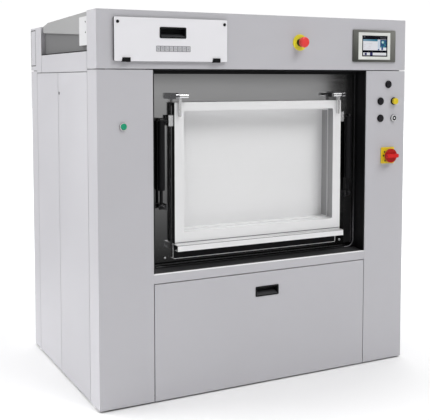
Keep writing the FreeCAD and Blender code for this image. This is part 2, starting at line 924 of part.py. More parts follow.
def front_service_panel():
    """Four flush sheets round the pull's hole, with folded edges and two pivots."""
    x = (open_left + seam, open_right - seam)
    z = (floor_gap, lip_bottom - seam)
    panel = block(x, (front, front + sheet), z)
    flange_y = (front, front + panel_flange)
    flange_z = (rail_top, z[1])
    panel = panel.fuse(block((x[0], x[0] + sheet), flange_y, flange_z))
    panel = panel.fuse(block((x[1] - sheet, x[1]), flange_y, flange_z))
    panel = panel.fuse(block(x, flange_y, (z[1] - sheet, z[1])))
    hole = pull_hole(panel_pull_x, panel_pull_z(), (front, front + sheet))
    panel = panel.cut(hole)
    for place, away in zip(panel_pivot_places(), (1, -1)):
        near = place + away * (pivot_ear + seam / 2)
        far = near + away * pivot_ear
        ear = block(
            sorted((near, far)),
            (front + sheet, pivot_y + pivot_ear),
            (pivot_height - pivot_ear, pivot_height + pivot_ear),
        )
        pin = rod_x(sorted((place - away * pivot_ear, far)), pivot_y, pivot_height, pin_radius)
        panel = panel.fuse(ear).fuse(pin)
    panel = panel.removeSplitter()
    reach = panel.BoundBox
    sides = (reach.XMin, hole.BoundBox.XMin, hole.BoundBox.XMax, reach.XMax)
    sheets = []
    for near, far in zip(sides, sides[1:]):
        slab = block((near, far), (reach.YMin, reach.YMax), (reach.ZMin, reach.ZMax))
        sheets.extend(panel.common(slab).Solids)
    return sheets


# Detergent dispenser

def flap_hinge_places():
    return (flap_x0 + flap_hinge_inset, flap_x1 - flap_hinge_inset - flap_hinge_width)


def flap_hinge_thirds(x):
    """The three knuckles of one hinge: two fixed ends and the flap's own between them."""
    third = flap_hinge_width / 3
    return (x, x + third), (x + third, x + 2 * third), (x + 2 * third, x + flap_hinge_width)


def dispenser_flap():
    y = (flap_front, front - flap_back_gap)
    flap = rounded((flap_x0, flap_x1), y, (flap_low, flap_high), door_corner)
    inside_x = (flap_x0 + sheet, flap_x1 - sheet)
    flap = flap.cut(block(inside_x, (flap_front + sheet, y[1]), (flap_low + sheet, flap_high - sheet)))
    flap = flap.cut(pull_hole(flap_x0 + flap_pull_x, flap_pull_z(), (flap_front, flap_front + sheet)))
    clear = flap_knuckle + flap_notch_gap
    for x in flap_hinge_places():
        notch = (x - flap_notch_gap, x + flap_hinge_width + flap_notch_gap)
        flap = flap.cut(rod_x(notch, flap_pivot_y, flap_pivot_z, clear))
        middle = flap_hinge_thirds(x)[1]
        ends = (middle[0] + touch_gap, middle[1] - touch_gap)
        knuckle = rod_x(ends, flap_pivot_y, flap_pivot_z, flap_knuckle)
        web = block(ends, (flap_front, flap_pivot_y), (flap_pivot_z, flap_low + flap_leaf_height))
        flap = flap.fuse(knuckle).fuse(web)
        flap = flap.cut(rod_x(ends, flap_pivot_y, flap_pivot_z, flap_hinge_pin + running_fit))
    return flap.removeSplitter()


def flap_pull_z():
    return flap_high - flap_pull_below


def dispenser_hinges():
    """Fixed leaves on the header behind the flap, each with two knuckles and the pin."""
    hinges = []
    for x in flap_hinge_places():
        ends = (x, x + flap_hinge_width)
        first, middle, last = flap_hinge_thirds(x)
        leaf = block(ends, (front - flap_leaf, front), (flap_pivot_z, flap_pivot_z + flap_leaf_height))
        leaf = leaf.cut(rod_x(middle, flap_pivot_y, flap_pivot_z, flap_knuckle + flap_notch_gap))
        pieces = [leaf, rod_x(ends, flap_pivot_y, flap_pivot_z, flap_hinge_pin)]
        pieces += [rod_x(third, flap_pivot_y, flap_pivot_z, flap_knuckle) for third in (first, last)]
        hinges.append(joined(pieces))
    return hinges


def soap_hopper():
    """Bins behind the flap, open above their front lip, fixed to the header's back."""
    x = (hopper_x0, hopper_x1)
    y = (front + sheet, front + sheet + hopper_depth)
    box = block(x, y, (hopper_low, hopper_high))
    inside_x = (x[0] + hopper_wall, x[1] - hopper_wall)
    inside_y = (y[0] + hopper_wall, y[1] - hopper_wall)
    box = box.cut(block(inside_x, inside_y, (hopper_low + hopper_wall, hopper_high - hopper_wall)))
    mouth_z = (hopper_low + hopper_front_lip, hopper_high - hopper_wall)
    box = box.cut(block(inside_x, (y[0], y[1] - hopper_wall), mouth_z))
    pitch = (inside_x[1] - inside_x[0]) / hopper_bins
    for index in range(1, hopper_bins):
        at = inside_x[0] + index * pitch - hopper_wall / 2
        divider_y = (y[0], y[1] - hopper_wall)
        divider_z = (hopper_low, hopper_low + hopper_divider - hopper_wall * 2)
        box = box.fuse(block((at, at + hopper_wall), divider_y, divider_z))
    return box.removeSplitter()


# Touch panel

def hmi_frame():
    half = hmi_width / 2
    tall = hmi_height / 2
    y = (front - hmi_proud, front)
    plate = rounded((hmi_x - half, hmi_x + half), y, (hmi_z - tall, hmi_z + tall), door_corner)
    return plate.cut(hmi_block(y, 0))


def hmi_block(y, gap):
    half = hmi_window_width / 2 - gap
    tall = hmi_window_height / 2 - gap
    return block((hmi_x - half, hmi_x + half), y, (hmi_z - tall, hmi_z + tall))


def hmi_panel():
    start = front - hmi_proud + hmi_recess
    return hmi_block((start, start + hmi_depth), touch_gap)


# Emergency stops, push-buttons and switches

def estop_collar():
    disc = rod_y(estop_x, (front - estop_disc, front), estop_z, estop_disc_radius)
    neck_end = front - estop_disc - estop_neck
    neck = rod_y(estop_x, (neck_end, front - estop_disc), estop_z, estop_neck_radius)
    hole = rod_y(estop_x, (neck_end, front), estop_z, estop_stem_radius + cap_gap)
    return disc.fuse(neck).cut(hole)


def estop_button():
    tip = front - estop_proud
    head = rod_y(estop_x, (tip, tip + estop_head), estop_z, estop_head_radius)
    rim = [edge for edge in head.Edges if abs(edge.BoundBox.YMax - tip) < touch_gap and edge.Closed]
    head = head.makeFillet(estop_head / 3, rim)
    stem = rod_y(estop_x, (tip + estop_head, front + estop_stem_inside), estop_z, estop_stem_radius)
    return head.fuse(stem)


def right_buttons():
    return {
        "upper_jog_button": (button_upper_x, button_upper_z),
        "middle_jog_button": (button_left_x, button_middle_z),
        "lower_jog_button": (button_left_x, button_lower_z),
        "yellow_button": (button_right_x, button_middle_z),
        "key_switch": (button_right_x, button_lower_z),
    }


def bezel(x, z):
    """A ring on the sheet with a sleeve through it."""
    ring = rod_y(x, (front - bezel_proud, front), z, bezel_radius)
    sleeve = rod_y(x, (front, front + sleeve_length), z, sleeve_radius)
    hole = rod_y(x, (front - bezel_proud, front + sleeve_length), z, cap_radius + cap_gap)
    return ring.fuse(sleeve).cut(hole)


def button(x, z, proud):
    face = front - bezel_proud - proud
    cap = rod_y(x, (face, front), z, cap_radius)
    return cap.fuse(rod_y(x, (front, front + stem_length), z, stem_radius))


def key_switch():
    x, z = right_buttons()["key_switch"]
    face = front - bezel_proud - cap_proud
    half = key_slot_width / 2
    tall = key_slot_height / 2
    slot = block((x - half, x + half), (face, face + key_slot_depth), (z - tall, z + tall))
    return button(x, z, cap_proud).cut(slot)


def main_switch_plate():
    half = switch_plate / 2
    x = (switch_x - half, switch_x + half)
    plate = rounded(x, (front - switch_plate_proud, front), (switch_z - half, switch_z + half), door_corner)
    return plate.cut(rod_y(switch_x, (front - switch_plate_proud, front), switch_z, knob_shaft + running_fit))


def main_switch_knob():
    base = front - switch_plate_proud - touch_gap
    disc_back = base - knob_neck
    disc_face = disc_back - knob_disc
    neck = rod_y(switch_x, (disc_back, base), switch_z, knob_neck_radius)
    disc = rod_y(switch_x, (disc_face, disc_back), switch_z, knob_radius)
    grip_y = (disc_face - knob_grip_height, disc_face)
    half = knob_grip_width / 2
    grip_x = (switch_x - knob_radius, switch_x + knob_radius)
    grip = rounded(grip_x, grip_y, (switch_z - half, switch_z + half), half / 2)
    grip = grip.common(rod_y(switch_x, grip_y, switch_z, knob_radius))
    shaft = rod_y(switch_x, (base, front + knob_shaft_length), switch_z, knob_shaft)
    return joined([neck, disc, grip, shaft])


# Tub, drum and bearings

def mouth_block(y, wall):
    return block((mouth_left - wall, mouth_right + wall), y, (mouth_low - wall, mouth_high + wall))


def tub():
    """A cylinder with a neck to each tub plate, on four legs, with the drain's neck below."""
    reach = -plate_back
    ends = (-tub_outer_half, tub_outer_half)
    shell = rod_x(ends, 0, axis_height, tub_radius + tub_shell).fuse(mouth_block((-reach, reach), neck_wall))
    drain_low = axis_height - tub_radius - drain_neck
    shell = shell.fuse(rod_z(0, 0, (drain_low, axis_height), drain_radius + drain_wall))
    hollow = rod_x((-tub_half, tub_half), 0, axis_height, tub_radius).fuse(mouth_block((-reach, reach), 0))
    hollow = hollow.fuse(rod_z(0, 0, (drain_low, axis_height), drain_radius))
    hollow = hollow.fuse(rod_x(ends, 0, axis_height, shaft_radius + drum_hub))
    whole = shell.cut(hollow)
    foot_low = rail_top + pedestal_height + mount_height
    for side_x in (-1, 1):
        for side_y in (-1, 1):
            x = sorted((side_x * tub_outer_half, side_x * (tub_outer_half + tub_leg_thickness)))
            y0 = side_y * tub_leg_y
            half = tub_leg_width / 2
            leg = block(x, (y0 - half, y0 + half), (foot_low, foot_low + tub_leg_height))
            foot_x = (side_x * mount_x - tub_foot / 2, side_x * mount_x + tub_foot / 2)
            foot = block(foot_x, (y0 - half, y0 + half), (foot_low, foot_low + tub_foot_thickness))
            whole = whole.fuse(leg).fuse(foot)
    return whole.removeSplitter()


def on_drum(angle, radius):
    """A place (y, z) on the drum, by its angle up from the loading side."""
    turn = math.radians(angle)
    return -radius * math.cos(turn), axis_height + radius * math.sin(turn)


def drum_sector(half_angle_low, half_angle_high, x, outer, inner):
    """Part of a tube round the axis between two angles from the loading side."""
    tube = rod_x(x, 0, axis_height, outer).cut(rod_x(x, 0, axis_height, inner))
    far = outer * 2
    low_y, low_z = on_drum(half_angle_low, far)
    high_y, high_z = on_drum(half_angle_high, far)
    wedge = prism_x([(0, axis_height), (low_y, low_z), (-far, axis_height), (high_y, high_z)], x)
    return tube.common(wedge)


def lifter(angle):
    half = drum_length / 2 - drum_end
    base = drum_radius - drum_shell / 2
    tip = drum_radius - drum_shell - lifter_height
    spread = math.degrees(lifter_base / 2 / drum_radius)
    points = [on_drum(angle - spread, base), on_drum(angle, tip), on_drum(angle + spread, base)]
    return prism_x(points, (-half, half))


def drum():
    """A drum with closed ends and a shaft at each, lifters inside and the opening for its door."""
    half = drum_length / 2
    shell = rod_x((-half, half), 0, axis_height, drum_radius)
    inside = (-half + drum_end, half - drum_end)
    shell = shell.cut(rod_x(inside, 0, axis_height, drum_radius - drum_shell))
    door_x_range = (-drum_door_width / 2 - drum_door_gap, drum_door_width / 2 + drum_door_gap)
    angle = drum_door_half_angle
    shell = shell.cut(drum_sector(-angle, angle, door_x_range, drum_radius + drum_shell, drum_pivot_radius))
    pieces = [shell]
    turn = 360 / lifter_count
    pieces += [lifter(turn / 2 + index * turn) for index in range(lifter_count)]
    pieces.append(rod_x((-half, -half + drum_hub), 0, axis_height, drum_hub_radius))
    pieces.append(rod_x((half - drum_hub, half), 0, axis_height, drum_hub_radius))
    pieces.append(rod_x((-half - shaft_left_length, -half), 0, axis_height, shaft_radius))
    pieces.append(rod_x((half, half + shaft_right_length), 0, axis_height, shaft_radius))
    pivot_y0, pivot_z0 = on_drum(-angle, drum_pivot_radius)
    for side in (-1, 1):
        ends = drum_lug_ends(side)
        inner = drum_pivot_radius - drum_lug
        lug = drum_sector(-angle - drum_lug_angle, -angle + drum_lug_angle / 4, ends, drum_radius, inner)
        pieces.append(lug.cut(rod_x(ends, pivot_y0, pivot_z0, pin_radius + running_fit)))
    return joined(pieces)


def drum_lug_ends(side):
    near = drum_door_width / 2 + drum_door_gap
    return sorted((side * near, side * (near + drum_lug)))


def drum_door():
    """A curved leaf in the drum's shell that turns inwards on pins at its lower edge."""
    half = drum_door_width / 2
    outer = drum_radius
    inner = drum_radius - drum_shell
    angle = drum_door_half_angle
    leaf = drum_sector(-angle + drum_door_lap, angle - drum_door_lap, (-half, half), outer, inner)
    pivot_y0, pivot_z0 = on_drum(-angle, drum_pivot_radius)
    knuckle = rod_x((-half, half), pivot_y0, pivot_z0, drum_knuckle)
    web_low = -angle + drum_door_lap
    web = drum_sector(web_low, web_low + drum_door_web, (-half, half), outer, drum_pivot_radius)
    pin_half = half + drum_door_gap + drum_lug
    pin = rod_x((-pin_half, pin_half), pivot_y0, pivot_z0, pin_radius)
    return joined([leaf, web, knuckle, pin])


def drum_bearings():
    bearings = []
    for side in (-1, 1):
        flange = sorted((side * tub_outer_half, side * (tub_outer_half + bearing_flange)))
        boss = sorted((side * (tub_outer_half + bearing_flange), side * (tub_outer_half + bearing_boss)))
        body = rod_x(flange, 0, axis_height, bearing_flange_radius)
        body = body.fuse(rod_x(boss, 0, axis_height, bearing_boss_radius))
        bore_ends = sorted((side * tub_outer_half, side * (tub_outer_half + bearing_boss)))
        bearings.append(body.cut(rod_x(bore_ends, 0, axis_height, shaft_radius + running_fit)))
    return bearings


# Drive

def drum_pulley():
    ends = (belt_x - pulley_width / 2, belt_x + pulley_width / 2)
    pulley = rod_x(ends, 0, axis_height, pulley_radius)
    for pocket in ((ends[0], ends[0] + pulley_pocket), (ends[1] - pulley_pocket, ends[1])):
        ring = rod_x(pocket, 0, axis_height, pulley_radius - pulley_rim)
        pulley = pulley.cut(ring.cut(rod_x(pocket, 0, axis_height, pulley_hub_radius)))
    return pulley.cut(rod_x(ends, 0, axis_height, shaft_radius + running_fit))


def motor_pulley():
    """The pulley with the motor's shaft, which runs in the motor's housing."""
    ends = (belt_x - pulley_width / 2, belt_x + pulley_width / 2)
    pulley = rod_x(ends, 0, motor_z, motor_pulley_radius)
    return pulley.fuse(rod_x((ends[0], motor_x + motor_shaft_inside), 0, motor_z, motor_shaft_radius))


def belt_outline(top_radius, low_radius, ends):
    """A solid filled in by a belt round both pulleys."""
    rise = (low_radius - top_radius) / (axis_height - motor_z)
    across = math.sqrt(1 - rise * rise)
    x = ends[0]

    def at(radius, centre, side):
        return Vector(x, side * radius * across, centre + radius * rise)

    top = [at(top_radius, axis_height, side) for side in (1, -1)]
    low = [at(low_radius, motor_z, side) for side in (1, -1)]
    wire = Part.Wire(
        [
            Part.Arc(top[0], Vector(x, 0, axis_height + top_radius), top[1]).toShape(),
            Part.makeLine(top[1], low[1]),
            Part.Arc(low[1], Vector(x, 0, motor_z - low_radius), low[0]).toShape(),
            Part.makeLine(low[0], top[0]),
        ]
    )
    return Part.Face(wire).extrude(Vector(ends[1] - ends[0], 0, 0))


def drive_belt():
    ends = (belt_x - belt_width / 2, belt_x + belt_width / 2)
    inner = (pulley_radius + touch_gap, motor_pulley_radius + touch_gap)
    outer = (inner[0] + belt_thickness, inner[1] + belt_thickness)
    return belt_outline(*outer, ends).cut(belt_outline(*inner, ends))


def drive_motor():
    housing = rod_x((motor_x, motor_x + motor_length), 0, motor_z, motor_radius)
    middle = motor_x + motor_length / 2
    foot_x = (middle - motor_foot_length / 2, middle + motor_foot_length / 2)
    foot = block(foot_x, (-motor_foot_width / 2, motor_foot_width / 2), (rail_top, motor_z))
    bore = rod_x((motor_x, motor_x + motor_shaft_inside), 0, motor_z, motor_shaft_radius + running_fit)
    return housing.fuse(foot).cut(bore).removeSplitter()


# Water

def valve_places():
    return (valve_x, valve_x + valve_spacing)


def inlet_valves():
    valves = []
    half = valve_body / 2
    top = roof_z(valve_y) - valve_below_roof
    for x in valve_places():
        body = block((x - half, x + half), (valve_y - half, valve_y + half), (top - valve_body_height, top))
        stub_low = roof_front_z - valve_stub_length
        neck = rod_z(x, valve_y, (top, stub_low), valve_neck_radius)
        stub = rod_z(x, valve_y, (stub_low, roof_front_z), valve_stub_radius)
        valves.append(joined([body, neck, stub]))
    return valves


def drain_valve():
    """The valve under the tub's neck with its actuator, and the outlet down to the floor."""
    top = axis_height - tub_radius - drain_neck
    body = rod_z(0, 0, (top - drain_body_height, top), drain_body_radius)
    actuator = block((0, drain_body_radius + drain_actuator), (-drain_radius, drain_radius),
                     (top - drain_body_height, top - drain_body_height + drain_actuator))
    pipe = rod_z(0, 0, (drain_outlet_bottom, top), drain_radius)
    bore = rod_z(0, 0, (drain_outlet_bottom, top), drain_radius - drain_wall)
    return joined([body, actuator, pipe]).cut(bore)


save("main_frame", main_frame())
save("levelling_feet", *levelling_feet())
save("tub_mounts", *tub_mounts())
save("front_left_column", front_left_column())
save("front_right_column", front_right_column())
save("front_header", front_header())
save("rear_header", rear_header())
save("rear_panels", *rear_panels())
save("left_side_panels", *left_side_panels())
save("right_side_panels", *[to_right(panel) for panel in left_side_panels()])
save("bay_panels", left_bay_panel(), to_right(left_bay_panel()))
save("roof_cover", roof_cover())
save("sills", sill(), to_rear(sill()))
save("front_liner", liner())
save("rear_liner", to_rear(liner()))
save("edge_trims", edge_trim(), to_rear(edge_trim()))
save("front_tub_plate", tub_plate())
save("rear_tub_plate", to_rear(tub_plate()))
save("door_seals", door_seal(), to_rear(door_seal()))
save("door_brackets", *door_brackets())
save("front_door", door())
save("front_door_handle", *door_handle())
save("front_door_fittings", *door_fittings())
save("front_strut_rods", *both_sides(strut_rod()))
save("front_strut_cylinders", *both_sides(strut_cylinder()))
save("rear_door", to_rear(door()))
save("rear_door_handle", *[to_rear(flat) for flat in door_handle()])
save("rear_door_fittings", *[to_rear(piece) for piece in door_fittings()])
save("rear_strut_rods", *[to_rear(piece) for piece in both_sides(strut_rod())])
save("rear_strut_cylinders", *[to_rear(piece) for piece in both_sides(strut_cylinder())])
save("front_service_panel", *front_service_panel())
save("front_panel_pull", pull_cup(panel_pull_x, panel_pull_z(), front))
save("dispenser_flap", dispenser_flap())
save("dispenser_pull", pull_cup(flap_x0 + flap_pull_x, flap_pull_z(), flap_front))
save("dispenser_hinges", *dispenser_hinges())
save("soap_hopper", soap_hopper())
save("hmi_frame", hmi_frame())
save("hmi_panel", hmi_panel())
save("estop_collars", estop_collar(), to_rear(estop_collar()))
save("front_estop_button", estop_button())
save("rear_estop_button", to_rear(estop_button()))
save("button_bezels", bezel(green_x, green_z), *[bezel(x, z) for x, z in right_buttons().values()])
save("green_button", button(green_x, green_z, cap_proud))
for name in ("upper_jog_button", "middle_jog_button", "lower_jog_button"):
    save(name, button(*right_buttons()[name], cap_proud))
save("yellow_button", button(*right_buttons()["yellow_button"], yellow_cap_proud))
save("key_switch", key_switch())
save("main_switch_plate", main_switch_plate())
save("main_switch_knob", main_switch_knob())
save("tub", tub())
save("drum", drum())
save("drum_door", drum_door())
save("drum_bearings", *drum_bearings())
save("drum_pulley", drum_pulley())
save("drive_belt", drive_belt())
save("drive_motor", drive_motor())
save("motor_pulley", motor_pulley())
save("inlet_valves", *inlet_valves())
save("drain_valve", drain_valve())
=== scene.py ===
import bpy
import json
import math
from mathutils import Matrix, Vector


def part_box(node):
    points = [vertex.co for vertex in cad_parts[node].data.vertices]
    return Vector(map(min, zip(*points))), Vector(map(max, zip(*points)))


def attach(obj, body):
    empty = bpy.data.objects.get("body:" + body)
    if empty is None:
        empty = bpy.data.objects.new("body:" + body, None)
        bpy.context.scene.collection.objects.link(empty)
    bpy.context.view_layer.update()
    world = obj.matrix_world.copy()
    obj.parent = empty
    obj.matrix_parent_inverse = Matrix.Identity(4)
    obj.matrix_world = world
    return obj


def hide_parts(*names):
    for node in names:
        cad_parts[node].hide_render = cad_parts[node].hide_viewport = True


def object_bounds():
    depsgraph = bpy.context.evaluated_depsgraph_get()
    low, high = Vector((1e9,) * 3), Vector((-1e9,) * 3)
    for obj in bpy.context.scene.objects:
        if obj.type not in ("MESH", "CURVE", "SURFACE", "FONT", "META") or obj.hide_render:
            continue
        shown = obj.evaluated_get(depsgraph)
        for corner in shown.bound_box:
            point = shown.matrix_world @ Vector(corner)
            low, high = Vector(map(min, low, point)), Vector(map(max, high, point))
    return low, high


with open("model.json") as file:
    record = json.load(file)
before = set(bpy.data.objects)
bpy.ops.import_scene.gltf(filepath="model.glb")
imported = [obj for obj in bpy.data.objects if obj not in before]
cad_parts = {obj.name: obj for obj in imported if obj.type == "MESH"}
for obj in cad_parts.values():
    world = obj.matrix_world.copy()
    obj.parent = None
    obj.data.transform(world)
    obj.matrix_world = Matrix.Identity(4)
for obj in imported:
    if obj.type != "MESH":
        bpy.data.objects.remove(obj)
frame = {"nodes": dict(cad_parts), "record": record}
cad_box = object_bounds()


# Main frame
# Channels round the floor, cross rails, angle posts and side rails, cut, welded and ground flush.
# The frame has a satin dark grey paint and carries the tub, the motor and every cabinet sheet.

class Shade:
    """A socket of a finish's nodes; arithmetic and comparison on it add Math nodes."""

    def __init__(self, tree, socket=None):
        self.tree = tree
        self.socket = socket

    def node(self, kind, settings=None, sockets=None, output=0):
        """Adds a node: its settings are set first, then the values or links of its sockets."""
        added = self.tree.nodes.new("ShaderNode" + kind)
        for name, value in (settings or {}).items():
            setattr(added, name, value)
        for name, value in (sockets or {}).items():
            if isinstance(value, Shade):
                self.tree.links.new(value.socket, added.inputs[name])
            else:
                added.inputs[name].default_value = value
        return Shade(self.tree, added.outputs[output])

    def maths(self, operation, first, second):
        return self.node("Math", {"operation": operation}, {0: first, 1: second})

    def __add__(self, other):
        return self.maths("ADD", self, other)

    def __sub__(self, other):
        return self.maths("SUBTRACT", self, other)

    def __rsub__(self, other):
        return self.maths("SUBTRACT", other, self)

    def __mul__(self, other):
        return self.maths("MULTIPLY", self, other)

    def __pow__(self, other):
        return self.maths("POWER", self, other)

    def wrapped(self):
        """The part of the value after the point."""
        return self.maths("FLOORED_MODULO", self, 1.0)

    def __gt__(self, other):
        return self.maths("GREATER_THAN", self, other)

    def __lt__(self, other):
        return self.maths("LESS_THAN", self, other)

    __radd__ = __add__
    __rmul__ = __mul__


def new_finish(name, **values):
    """A finish with its shader's fixed values, and the place on the piece in metres."""
    finish = bpy.data.materials.new(name)
    finish.use_nodes = True
    shader = finish.node_tree.nodes["Principled BSDF"]
    for socket, value in values.items():
        shader.inputs[socket.replace("_", " ")].default_value = value
    place = Shade(finish.node_tree).node("TexCoord", output="Object")
    return finish, shader, place


def feed(shader, socket, shade):
    shade.tree.links.new(shade.socket, shader.inputs[socket])


def two_tone(mask, low, high):
    """One colour where the mask is 0, another where it is 1."""
    return mask.node("Mix", {"data_type": "RGBA"}, {0: mask, 6: low, 7: high}, 2)


def tinted(colour, factor):
    return tuple(channel * factor for channel in colour[:3]) + (1.0,)


def noise(place, scale, detail=2.0):
    return place.node("TexNoise", sockets={"Vector": place, "Scale": scale, "Detail": detail})


def axes(place):
    """The place's x, y and z."""
    parts = place.node("SeparateXYZ", sockets={0: place})
    return [Shade(place.tree, output) for output in parts.socket.node.outputs]


def bump(height, strength, distance):
    return height.node("Bump", sockets={"Height": height, "Strength": strength, "Distance": distance})


painted_fold_highlight = (0.82, 0.82, 0.83, 1.0)


def paint(name, colour, roughness, grain, depth, highlight_from=None):
    """Sprayed or powdered paint: a fine orange peel and a faint drift of tone and gloss.

    Above the height of a fold, where there is one, it has a painted highlight for the light that the fold
    catches.
    """
    finish, shader, place = new_finish(name)
    drift = noise(place, 2.5, 3.0)
    peel = noise(place, grain)
    tone = two_tone(drift, tinted(colour, 0.97), tinted(colour, 1.03))
    if highlight_from is not None:
        tone = two_tone(axes(place)[2] > highlight_from, tone, painted_fold_highlight)
    feed(shader, "Base Color", tone)
    feed(shader, "Roughness", drift * 0.08 + peel * 0.06 + (roughness - 0.07))
    feed(shader, "Normal", bump(peel, depth, 0.0003))
    return finish


carrier = {node: body for body, nodes in frame["record"]["behaviour"]["bodies"].items() for node in nodes}
slot_of = {part["node"]: part["material_slot"] for part in frame["record"]["subparts"]}


def pick(piece):
    bpy.ops.object.select_all(action="DESELECT")
    piece.select_set(True)
    bpy.context.view_layer.objects.active = piece


def apply_modifier(piece, kind, **settings):
    pick(piece)
    modifier = piece.modifiers.new(kind, kind)
    for name, value in settings.items():
        setattr(modifier, name, value)
    bpy.ops.object.modifier_apply(modifier=modifier.name)


sharp_turn = math.radians(40.0)


def break_edges(piece, edge):
    """Rounds every sharp edge a little and keeps the flats flat."""
    if edge:
        apply_modifier(piece, "BEVEL", width=edge, segments=2, limit_method="ANGLE", angle_limit=sharp_turn)
    pick(piece)
    bpy.ops.object.shade_smooth_by_angle(angle=sharp_turn)
    apply_modifier(piece, "WEIGHTED_NORMAL", keep_sharp=True)


def choose(piece, kind, test):
    """Opens a piece in edit mode with only those points, edges or faces selected that pass a test."""
    pick(piece)
    bpy.ops.object.mode_set(mode="EDIT")
    bpy.ops.mesh.select_mode(type=kind)
    bpy.ops.mesh.select_all(action="DESELECT")
    bpy.ops.object.mode_set(mode="OBJECT")
    shape = piece.data
    for one in {"VERT": shape.vertices, "EDGE": shape.edges, "FACE": shape.polygons}[kind]:
        one.select = test(one)
    bpy.ops.object.mode_set(mode="EDIT")


def dress(piece, finish, body, slot, *nodes):
    """Gives a piece its finish and the body it moves with, and hides the nodes it stands for; the slot is
    not used.
    """
    piece.data.materials.clear()
    for one in finish if isinstance(finish, list) else [finish]:
        piece.data.materials.append(one)
    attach(piece, body)
    if nodes:
        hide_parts(*nodes)


same_point = 0.000005
same_plane = math.radians(0.5)


def finished(node, finish, edge=0.0007, inner=None):
    """A node's own shape in its finish, with its edges broken.

    Where solids of the node lie flush, inner tells the faces between them, which are taken out.
    """
    piece = bpy.data.objects.new("finished_" + node, frame["nodes"][node].data.copy())
    bpy.context.scene.collection.objects.link(piece)
    pick(piece)
    bpy.ops.mesh.customdata_custom_splitnormals_clear()
    bpy.ops.object.mode_set(mode="EDIT")
    bpy.ops.mesh.select_all(action="SELECT")
    bpy.ops.mesh.remove_doubles(threshold=same_point)
    if inner:
        bpy.ops.object.mode_set(mode="OBJECT")
        choose(piece, "FACE", inner)
        bpy.ops.mesh.delete(type="FACE")
        bpy.ops.mesh.select_mode(type="VERT")
        bpy.ops.mesh.select_all(action="SELECT")
    bpy.ops.mesh.dissolve_limited(angle_limit=same_plane)
    bpy.ops.object.mode_set(mode="OBJECT")
    break_edges(piece, edge)
    dress(piece, finish, carrier[node], slot_of[node], node)
    return piece


frame_grey = paint("frame_grey_paint", (0.17, 0.175, 0.18), 0.45, 500.0, 0.15)
finished("main_frame", frame_grey)


# Levelling feet
# Turned steel pads of 70 mm on threaded stems, screwed up into the corners of the base frame.

def plated(name, colour, roughness, metal=1.0):
    """Bright plated or ground steel with fine marks."""
    finish, shader, place = new_finish(name, Metallic=metal)
    marks = noise(place, 160.0, 4.0)
    cloud = noise(place, 9.0, 3.0)
    feed(shader, "Base Color", two_tone(cloud, tinted(colour, 0.92), tinted(colour, 1.05)))
    feed(shader, "Roughness", marks * 0.10 + cloud * 0.06 + (roughness - 0.08))
    feed(shader, "Normal", bump(marks, 0.08, 0.0002))
    return finish


bright_steel = plated("bright_plated_steel", (0.86, 0.86, 0.87), 0.34)
finished("levelling_feet", bright_steel)


# Tub mounts
# Four blocks of black rubber between the pedestals of the frame and the feet of the tub.

def moulded(name, colour, roughness, grain, depth, **values):
    """Moulded plastic or rubber with a fine grain and a slight bloom."""
    finish, shader, place = new_finish(name, **values)
    skin = noise(place, grain, 3.0)
    bloom = noise(place, 18.0, 3.0)
    feed(shader, "Base Color", two_tone(bloom, tinted(colour, 0.88), tinted(colour, 1.12)))
    feed(shader, "Roughness", bloom * 0.12 + skin * 0.06 + (roughness - 0.09))
    feed(shader, "Normal", bump(skin, depth, 0.0002))
    return finish


black_rubber = moulded("black_rubber", (0.008, 0.008, 0.009), 0.60, 700.0, 0.2, Specular_IOR_Level=0.15)
finished("tub_mounts", black_rubber, 0.002)


# Tub
# A rolled stainless cylinder with two square necks, flat ends, four welded legs and the neck of the drain.

def streaks(place, stretch, detail):
    """Noise drawn out into fine lines, with a scale of its own along each axis."""
    return noise(place.node("Mapping", sockets={"Vector": place, "Scale": stretch}), 1.0, detail)


def rolled_steel(name, colour, roughness, stretch):
    """Ground or rolled stainless sheet: fine lines that run one way."""
    finish, shader, place = new_finish(name, Metallic=1.0)
    lines = streaks(place, stretch, 4.0)
    cloud = noise(place, 4.0, 3.0)
    wear = lines * 0.6 + cloud * 0.4
    feed(shader, "Base Color", two_tone(wear, tinted(colour, 0.90), tinted(colour, 1.06)))
    feed(shader, "Roughness", lines * 0.14 + cloud * 0.08 + (roughness - 0.11))
    feed(shader, "Normal", bump(lines, 0.06, 0.0002))
    return finish


lines_along_x = (8.0, 500.0, 500.0)
tub_steel = rolled_steel("rolled_stainless", (0.62, 0.62, 0.63), 0.34, lines_along_x)
finished("tub", tub_steel, 0.001)


# Drum bearings
# Cast flange bearings bolted to the ends of the tub, machined on their faces and left oiled.

def cast(name, colour):
    """Cast iron: a coarse skin with darker hollows."""
    finish, shader, place = new_finish(name, Metallic=0.6)
    skin = noise(place, 220.0, 5.0)
    cloud = noise(place, 14.0, 3.0)
    hollows = skin * 0.5 + cloud * 0.5
    feed(shader, "Base Color", two_tone(hollows, tinted(colour, 0.7), tinted(colour, 1.3)))
    feed(shader, "Roughness", skin * 0.2 + 0.38)
    feed(shader, "Normal", bump(skin, 0.35, 0.0005))
    return finish


cast_iron = cast("oiled_cast_iron", (0.13, 0.13, 0.13))
finished("drum_bearings", cast_iron, 0.0015)


# Drum and its door
# Stainless sheet pierced all over with small drain holes, with pressed lifters and a hinged leaf.

